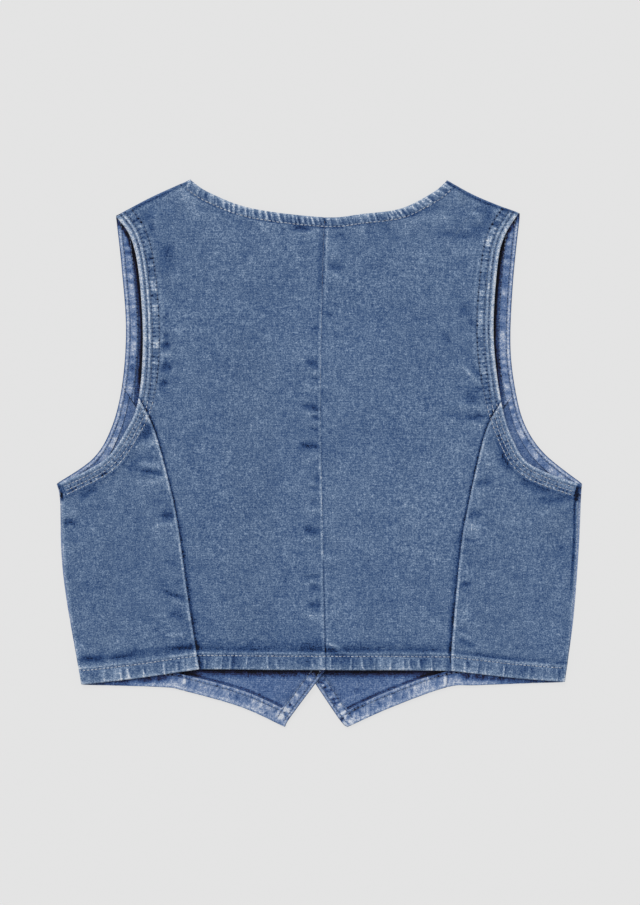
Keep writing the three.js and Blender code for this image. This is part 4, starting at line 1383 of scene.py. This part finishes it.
def denim(name, shades, grain, mottle):
    """Washed denim: a speckled twill whose shade follows its wash, with needle holes along its rows, a dark
    line past a single row, and the rungs of a facing's overlocked edge pressed through beside three."""
    finish = Finish(name)
    wash = finish.carried("wash")
    off, along, _ = finish.carried_three("edge")
    first, second, third = finish.carried_three("rows")
    speckle, drawn_out, weave = yarns(finish)
    drift = finish.noise(DRIFT_SCALE, 2.0) - 0.5
    patches = finish.noise(PATCH_SCALE, 1.0) - 0.5
    flecks = finish.noise(FLECK_SCALE, 1.0)
    uneven = finish.noise(UNEVEN_SCALE) * 1.6 - 0.1

    # Needle holes, and which kind of band a point is on: one row, or three high up or under the arm
    phase = (along * (1 / STITCH_PITCH)).math("FRACT")
    beat = phase.near(0.5, 0.36)
    holes = 0
    for place in (first, second, third):
        holes = (off - place).math("ABSOLUTE").fade(1.15, 0.2) * beat * uneven + holes
    single = second.fade(30.0, 60.0) * first.fade(60.0, 30.0)
    triple = third.fade(60.0, 30.0)
    high = third.fade(11.4, 14.2) * triple
    low = high * -1 + 1
    past_row = (off - first).near(1.3, 0.95) * single

    # The band's worn fold and cord, and the rungs that its facing's overlocking presses through
    lip = off.fade(2.6, 1.6) * high
    ridge = off.near(5.8, 1.2) * high * (flecks.fade(0.3, 0.6) * 0.7 + 0.3)
    reach = off.fade(8.3, 9.0) * high + off.fade(2.0, 2.8) * low
    facing_edge = reach * (off - third).fade(1.4, 0.4) * triple
    ends = off.near(9.4, 1.9) + (off - third).near(-0.6, 1.7) + off.near(5.6, 3.2) * low * 1.3
    rungs = (phase.near(0.5, 0.42) * 1.25 - 0.2) * flecks.fade(0.40, 0.60)
    squares = off.near(11.0, 2.2) * flecks.fade(0.54, 0.44) * phase.fade(0.35, 0.1)

    # The grain is quieter on dark cloth
    quiet = wash.fade(-1.0, -0.3) * 0.55 + 0.45
    tone = wash * 0.5 + 0.48 + (speckle * grain + drawn_out * (grain * 0.22) + weave * 0.085) * quiet
    tone = tone + drift * mottle + patches * (mottle * 0.6) + seam_shade(finish)
    # Needle holes are painted darker, as the shade inside them.
    tone = tone - holes * (high * 0.10 - triple * 0.04 + 0.42) - past_row * 0.11
    tone = tone + ridge * 0.15 + lip * 0.10 + facing_edge * squares * 0.30
    tone = tone - facing_edge * rungs * (ends * 0.26 + 0.08) * (high * 0.35 + 0.65)
    colour = finish.node("ShaderNodeValToRGB", {"stops": shades}, {0: tone}).outputs[0]
    lines_across = {"Scale": TWILL_SCALE, "Distortion": 2.0, "Detail": 1.0, "Detail Scale": 3.0}
    twill = finish.wave("DIAGONAL", lines_across)
    bump = twill * 0.10 + speckle * 0.9 + drift * 0.5 - holes * 0.6 - past_row * 0.5
    bump = bump - facing_edge * rungs * 0.6 + ridge * 0.5
    roughness = drift * 0.25 + speckle * 0.15 + 0.88
    return finish.surface({"Sheen Weight": 0.04, "Sheen Roughness": 0.6, "Specular IOR Level": 0.12},
                          {"Base Color": colour, "Roughness": roughness}, bump, DENIM_BUMP)


def thread(name, pale, dark):
    """Cotton thread: pale strands twisted round each other, soiled in places."""
    finish = Finish(name)
    soil = finish.noise(300.0, 1.0).fade(0.35, 0.7)
    strands = finish.wave("DIAGONAL", {"Scale": 900.0, "Distortion": 1.0})
    colour = finish.blended(soil, linear(pale), linear(dark))
    return finish.surface({"Specular IOR Level": 0.25}, {"Base Color": colour, "Roughness": soil * 0.2 + 0.7},
                          strands, 0.00015)


def button_metal():
    """Dulled white metal with fine scratches, darker where it's worn less."""
    finish = Finish("button_metal")
    dull = finish.noise(420.0, 3.0).fade(0.3, 0.7)
    scratches = finish.noise(900.0, 2.0, (1.0, 0.15, 1.0))
    colour = finish.blended(dull, linear((150, 146, 140)), linear((104, 100, 95)))
    roughness = dull * 0.2 + scratches * 0.15 + 0.3
    return finish.surface({"Metallic": 0.9}, {"Base Color": colour, "Roughness": roughness},
                          scratches * 0.4 + dull, 0.00008)


def floor_finish():
    """Pale matt paper that mostly gives its own even light."""
    finish = Finish("floor_paper")
    shader = finish.node("ShaderNodeBsdfPrincipled", None, {
        "Base Color": linear(FLOOR_PAPER), "Roughness": 0.95, "Specular IOR Level": 0.0,
        "Emission Color": linear(FLOOR_GLOW), "Emission Strength": 1.0})
    finish.node("ShaderNodeOutputMaterial", None, {"Surface": shader.outputs[0]})
    return finish.material


FLOOR_PAPER = (79, 79, 79)
FLOOR_GLOW = (217, 217, 217)
DENIM_OUTSIDE = denim("denim_outside", OUTSIDE_SHADES, 0.93, 0.17)
DENIM_INSIDE = denim("denim_inside", INSIDE_SHADES, 0.80, 0.20)
PALE_THREAD = thread("thread_pale_blue", (208, 217, 230), (152, 167, 192))
FADED_THREAD = thread("thread_faded_blue", (126, 144, 172), (80, 98, 130))
METAL = button_metal()


# Stitches, buttons and buttonholes

STITCH_LENGTH = 3.1
THREAD_RADIUS = 0.42
THREAD_FLATNESS = 0.8
# How far from a stitch's middle to each end the cloth's height is felt for
FELT_AT = 0.7
# Round a stitch from end to end: how far along, how thick, and how high it stands on the cloth
STITCH_RINGS = [(-0.92, 0.55, -0.10), (-0.45, 1.0, 0.16), (0.45, 1.0, 0.16), (0.92, 0.55, -0.10)]
STITCH_SIDES = 5


class Ground:
    """The cloth that a stitch or button lies on, felt for from above or below."""

    def __init__(self, objects, from_above):
        self.trees = []
        for piece in objects:
            mesh = piece.data
            corners = [vertex.co.copy() for vertex in mesh.vertices]
            faces = [polygon.vertices[:] for polygon in mesh.polygons]
            self.trees.append(bvhtree.BVHTree.FromPolygons(corners, faces))
        self.from_above = from_above

    def height(self, x, y):
        start = 0.1 if self.from_above else -0.1
        way = Vector((0, 0, -1 if self.from_above else 1))
        hits = [tree.ray_cast(Vector((x * MM, y * MM, start)), way)[0] for tree in self.trees]
        levels = [hit.z / MM for hit in hits if hit]
        if not levels:
            return None
        return max(levels) if self.from_above else min(levels)


def stitch_row(line, off, towards, start=None, end=None, pitch=STITCH_PITCH):
    """The middle and heading of each stitch of a row beside a line, on the side of the given point."""
    start = pitch * 0.5 if start is None else start
    end = line.length - pitch * 0.5 if end is None else end
    count = int((end - start) / pitch)
    along = start + pitch * (0.5 + np.arange(count))
    heading = line.heading(along)
    middle = line.point(along)
    inward = np.stack([-heading[:, 1], heading[:, 0]], -1)
    side = np.sign(((np.array(towards) - middle) * inward).sum(-1).mean())
    distance = off(along) if callable(off) else off
    return middle + inward * side * np.reshape(distance, (-1, 1)), heading


def sew(name, rows, ground, seed, colour):
    """One piece of thread stitches, each a capsule with its ends drawn into the cloth."""
    rng = np.random.default_rng(seed)
    turn = np.arange(STITCH_SIDES) * 2 * math.pi / STITCH_SIDES
    up = 1 if ground.from_above else -1
    points, faces = [], []
    for middles, headings in rows:
        for middle, heading in zip(middles, headings):
            heading = heading + rng.uniform(-0.07, 0.07, 2)
            sideways = np.array([-heading[1], heading[0]])
            middle = middle + sideways * rng.uniform(-0.15, 0.15)
            half = STITCH_LENGTH / 2 * rng.uniform(0.85, 1.1)
            levels = [ground.height(*(middle + heading * half * place)) for place in (-FELT_AT, FELT_AT)]
            if None in levels:
                continue
            base = len(points)
            for place, thick, stand in STITCH_RINGS:
                level = levels[0] + (levels[1] - levels[0]) * (place + FELT_AT) / (2 * FELT_AT) + up * stand
                centre = middle + heading * half * place
                radius = THREAD_RADIUS * thick
                for angle in turn:
                    x, y = centre + sideways * radius * math.cos(angle)
                    points.append((x, y, level + radius * THREAD_FLATNESS * math.sin(angle)))
            for ring in range(len(STITCH_RINGS) - 1):
                start = base + ring * STITCH_SIDES
                for k in range(STITCH_SIDES):
                    a, b = start + k, start + (k + 1) % STITCH_SIDES
                    faces.append((a, b, b + STITCH_SIDES, a + STITCH_SIDES))
    piece = mesh_of(name, np.array(points), [(np.array(faces), 0)], {})
    piece.data.materials.append(colour)
    return piece


SHANK_RADIUS = 1.5
BUTTON_PLACES = [24, -25, -74, -123, -172]
# A button's section from the middle of its face round the rim to its shank: radius and height
BUTTON_SECTION = [(0.0, 0.62), (2.4, 0.60), (2.9, 0.35), (3.3, 0.34), (5.9, 0.55), (6.5, 0.42), (7.3, 0.05),
                  (7.8, 0.0), (8.3, 0.22), (8.5, 0.7), (8.4, 1.2), (7.9, 1.6), (7.0, 1.8), (3.0, 1.78),
                  (1.7, 1.8), (SHANK_RADIUS, 2.1)]
BUTTON_SIDES = 48


def button(number, y):
    """A plain metal button that lies face down, with its shank up through the buttonhole."""
    _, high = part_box(f"button_{number}")
    shank_top = high.z / MM
    section = BUTTON_SECTION + [(SHANK_RADIUS, shank_top), (0.0, shank_top)]
    form = bmesh.new()
    turns = [k * 2 * math.pi / BUTTON_SIDES for k in range(BUTTON_SIDES)]
    rings = []
    for radius, height in section:
        middle = Vector((CENTRE_FRONT, y, height))
        if radius == 0:
            rings.append([form.verts.new(middle * MM)] * BUTTON_SIDES)
            continue
        out = [Vector((radius * math.cos(turn), radius * math.sin(turn), 0)) for turn in turns]
        rings.append([form.verts.new((middle + step) * MM) for step in out])
    for inner, outer in zip(rings[:-1], rings[1:]):
        for k in range(BUTTON_SIDES):
            after = (k + 1) % BUTTON_SIDES
            form.faces.new(list(dict.fromkeys([inner[k], inner[after], outer[after], outer[k]])))
    bmesh.ops.recalc_face_normals(form, faces=form.faces)
    mesh = bpy.data.meshes.new(f"jeans_button_{number}")
    form.to_mesh(mesh)
    form.free()
    mesh.shade_smooth()
    piece = bpy.data.objects.new(f"jeans_button_{number}", mesh)
    bpy.context.scene.collection.objects.link(piece)
    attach(piece, "root")
    return finished(piece, f"button_{number}", "button", METAL)


def buttonhole_stitches(y):
    """Short stitches side by side round a buttonhole's slit: their middles and headings."""
    start = CENTRE_FRONT - BUTTONHOLE_LEAD
    end = start + BUTTONHOLE_LENGTH
    spacing = 0.85
    places = np.arange(start, end, spacing)
    rows = []
    for side in (-1, 1):
        middles = np.stack([places, np.full(len(places), y + side * BUTTONHOLE_SLIT * 0.8)], -1)
        rows.append((middles, np.tile([0.0, 1.0], (len(places), 1))))
    turns = np.linspace(-1.2, 1.2, 5)
    ends = np.stack([end + 1.6 * np.cos(turns), y + 1.6 * np.sin(turns)], -1)
    rows.append((ends, np.stack([np.cos(turns), np.sin(turns)], -1)))
    return rows


# Putting the vest together

backs = {side: build_back(side) for side in ("left", "right")}
fronts = {side: build_front(side) for side in ("left", "right")}
back_pieces = [piece for side in backs.values() for piece, _, _ in side]
front_pieces = [piece for side in fronts.values() for piece, _, _ in side]
front_strips = [strip for side in fronts.values() for _, _, strips in side for strip in strips]

MIDDLE = (0.0, 20.0)
upper = Ground(back_pieces, from_above=True)
lower = Ground(front_pieces, from_above=False)
facings = Ground(front_strips, from_above=True)

neck_stitches = sew("stitches_back_neck", [stitch_row(BACK_NECK, NECK_ROW, (0, 100))], upper, 1, PALE_THREAD)
hem_stitches = sew("stitches_back_hem", [stitch_row(BACK_HEM, HEM_ROW, (0, 0))], upper, 2, PALE_THREAD)
armhole_stitches, front_stitches, inner_stitches = {}, {}, {}
POINT_START = -188.0
for number, side in enumerate(("left", "right")):
    line = BACK_ARMHOLE[side]
    seam_at = line.nearest(BACK_PRINCESS[side].points[:1])[1][0]
    offs = [*ARMHOLE_ROWS, lambda along: outer_row(along, BACK_ARMHOLE[side].length)]
    above = [stitch_row(line, off, MIDDLE, end=seam_at) for off in offs]
    below = [stitch_row(line, off, MIDDLE, start=seam_at) for off in offs]
    armhole_stitches[side] = [
        sew(f"stitches_back_armhole_upper_{side}", above, upper, 3 + number, FADED_THREAD),
        sew(f"stitches_back_armhole_lower_{side}", below, upper, 13 + number, PALE_THREAD)]
    inside_of_front = (-80 if side == "left" else 80, 20)
    edges = [(FRONT_ARMHOLE[side], off) for off in FRONT_ARMHOLE_ROWS] + [(FRONT_HEM[side], FRONT_HEM_ROW)]
    shared = [stitch_row(line, off, inside_of_front) for line, off in edges]
    front_edge_rows = [stitch_row(FRONT_EDGE[side], off, inside_of_front) for off in FRONT_EDGE_ROWS]
    front_stitches[side] = sew(f"stitches_front_outside_{side}", shared + front_edge_rows, lower, 5 + number,
                                PALE_THREAD)
    shown = [(middles[middles[:, 1] < POINT_START], headings[middles[:, 1] < POINT_START])
             for middles, headings in front_edge_rows]
    inner_stitches[side] = sew(f"stitches_front_inside_{side}", shared + shown, facings, 7 + number,
                                FADED_THREAD)
buttons = [button(number + 1, y) for number, y in enumerate(BUTTON_PLACES)]
hole_rows = [row for y in BUTTON_PLACES for row in buttonhole_stitches(y)]
hole_stitches = sew("stitches_buttonholes", hole_rows, lower, 9, PALE_THREAD)

floor_mesh = bpy.data.meshes.new("floor")
FLOOR_HALF = 6.0
FLOOR_LEVEL = -0.0008
floor_mesh.from_pydata([(-FLOOR_HALF, -FLOOR_HALF, FLOOR_LEVEL), (FLOOR_HALF, -FLOOR_HALF, FLOOR_LEVEL),
                        (FLOOR_HALF, FLOOR_HALF, FLOOR_LEVEL), (-FLOOR_HALF, FLOOR_HALF, FLOOR_LEVEL)], [],
                       [(0, 1, 2, 3)])
floor = bpy.data.objects.new("floor", floor_mesh)
bpy.context.scene.collection.objects.link(floor)
floor_mesh.materials.append(floor_finish())

for side in ("left", "right"):
    centre, panel_side = backs[side]
    sewn_on = [neck_stitches, hem_stitches] if side == "left" else []
    by_centre, by_side = armhole_stitches[side]
    declare_sheet(centre[1], centre[2] + sewn_on + [by_centre])
    declare_sheet(panel_side[1], panel_side[2] + [by_side])
    centre, panel_side = fronts[side]
    closure = buttons if side == "left" else [hole_stitches]
    declare_sheet(centre[1],
                  centre[2] + [front_stitches[side], inner_stitches[side]] + closure)
    declare_sheet(panel_side[1], panel_side[2])

# Light and camera
CAMERA_X, CAMERA_Y = 0.0006, 0.0005
LENS, SENSOR = 85.0, 36.0
FRAME_HEIGHT = 0.8258
CLOTH_LEVEL = 0.007

camera_data = bpy.data.cameras.new("camera")
camera_data.lens = LENS
camera_data.sensor_width = SENSOR
camera = bpy.data.objects.new("camera", camera_data)
camera.location = (CAMERA_X, CAMERA_Y, CLOTH_LEVEL + FRAME_HEIGHT * LENS / SENSOR)
bpy.context.scene.collection.objects.link(camera)
bpy.context.scene.camera = camera

KEY_FROM = Vector((-0.30, 1.0, 1.15))
key_data = bpy.data.lights.new("key", "SUN")
key_data.angle = math.radians(24)
key_data.energy = 1.55
key = bpy.data.objects.new("key", key_data)
key.location = KEY_FROM
key.rotation_euler = (-KEY_FROM).to_track_quat("-Z", "Y").to_euler()
bpy.context.scene.collection.objects.link(key)

world = bpy.data.worlds.new("studio")
world.use_nodes = True
sky = world.node_tree.nodes["Background"]
sky.inputs["Color"].default_value = (1.0, 1.0, 1.0, 1.0)
sky.inputs["Strength"].default_value = 0.66
bpy.context.scene.world = world
bpy.context.scene.view_settings.view_transform = "Standard"
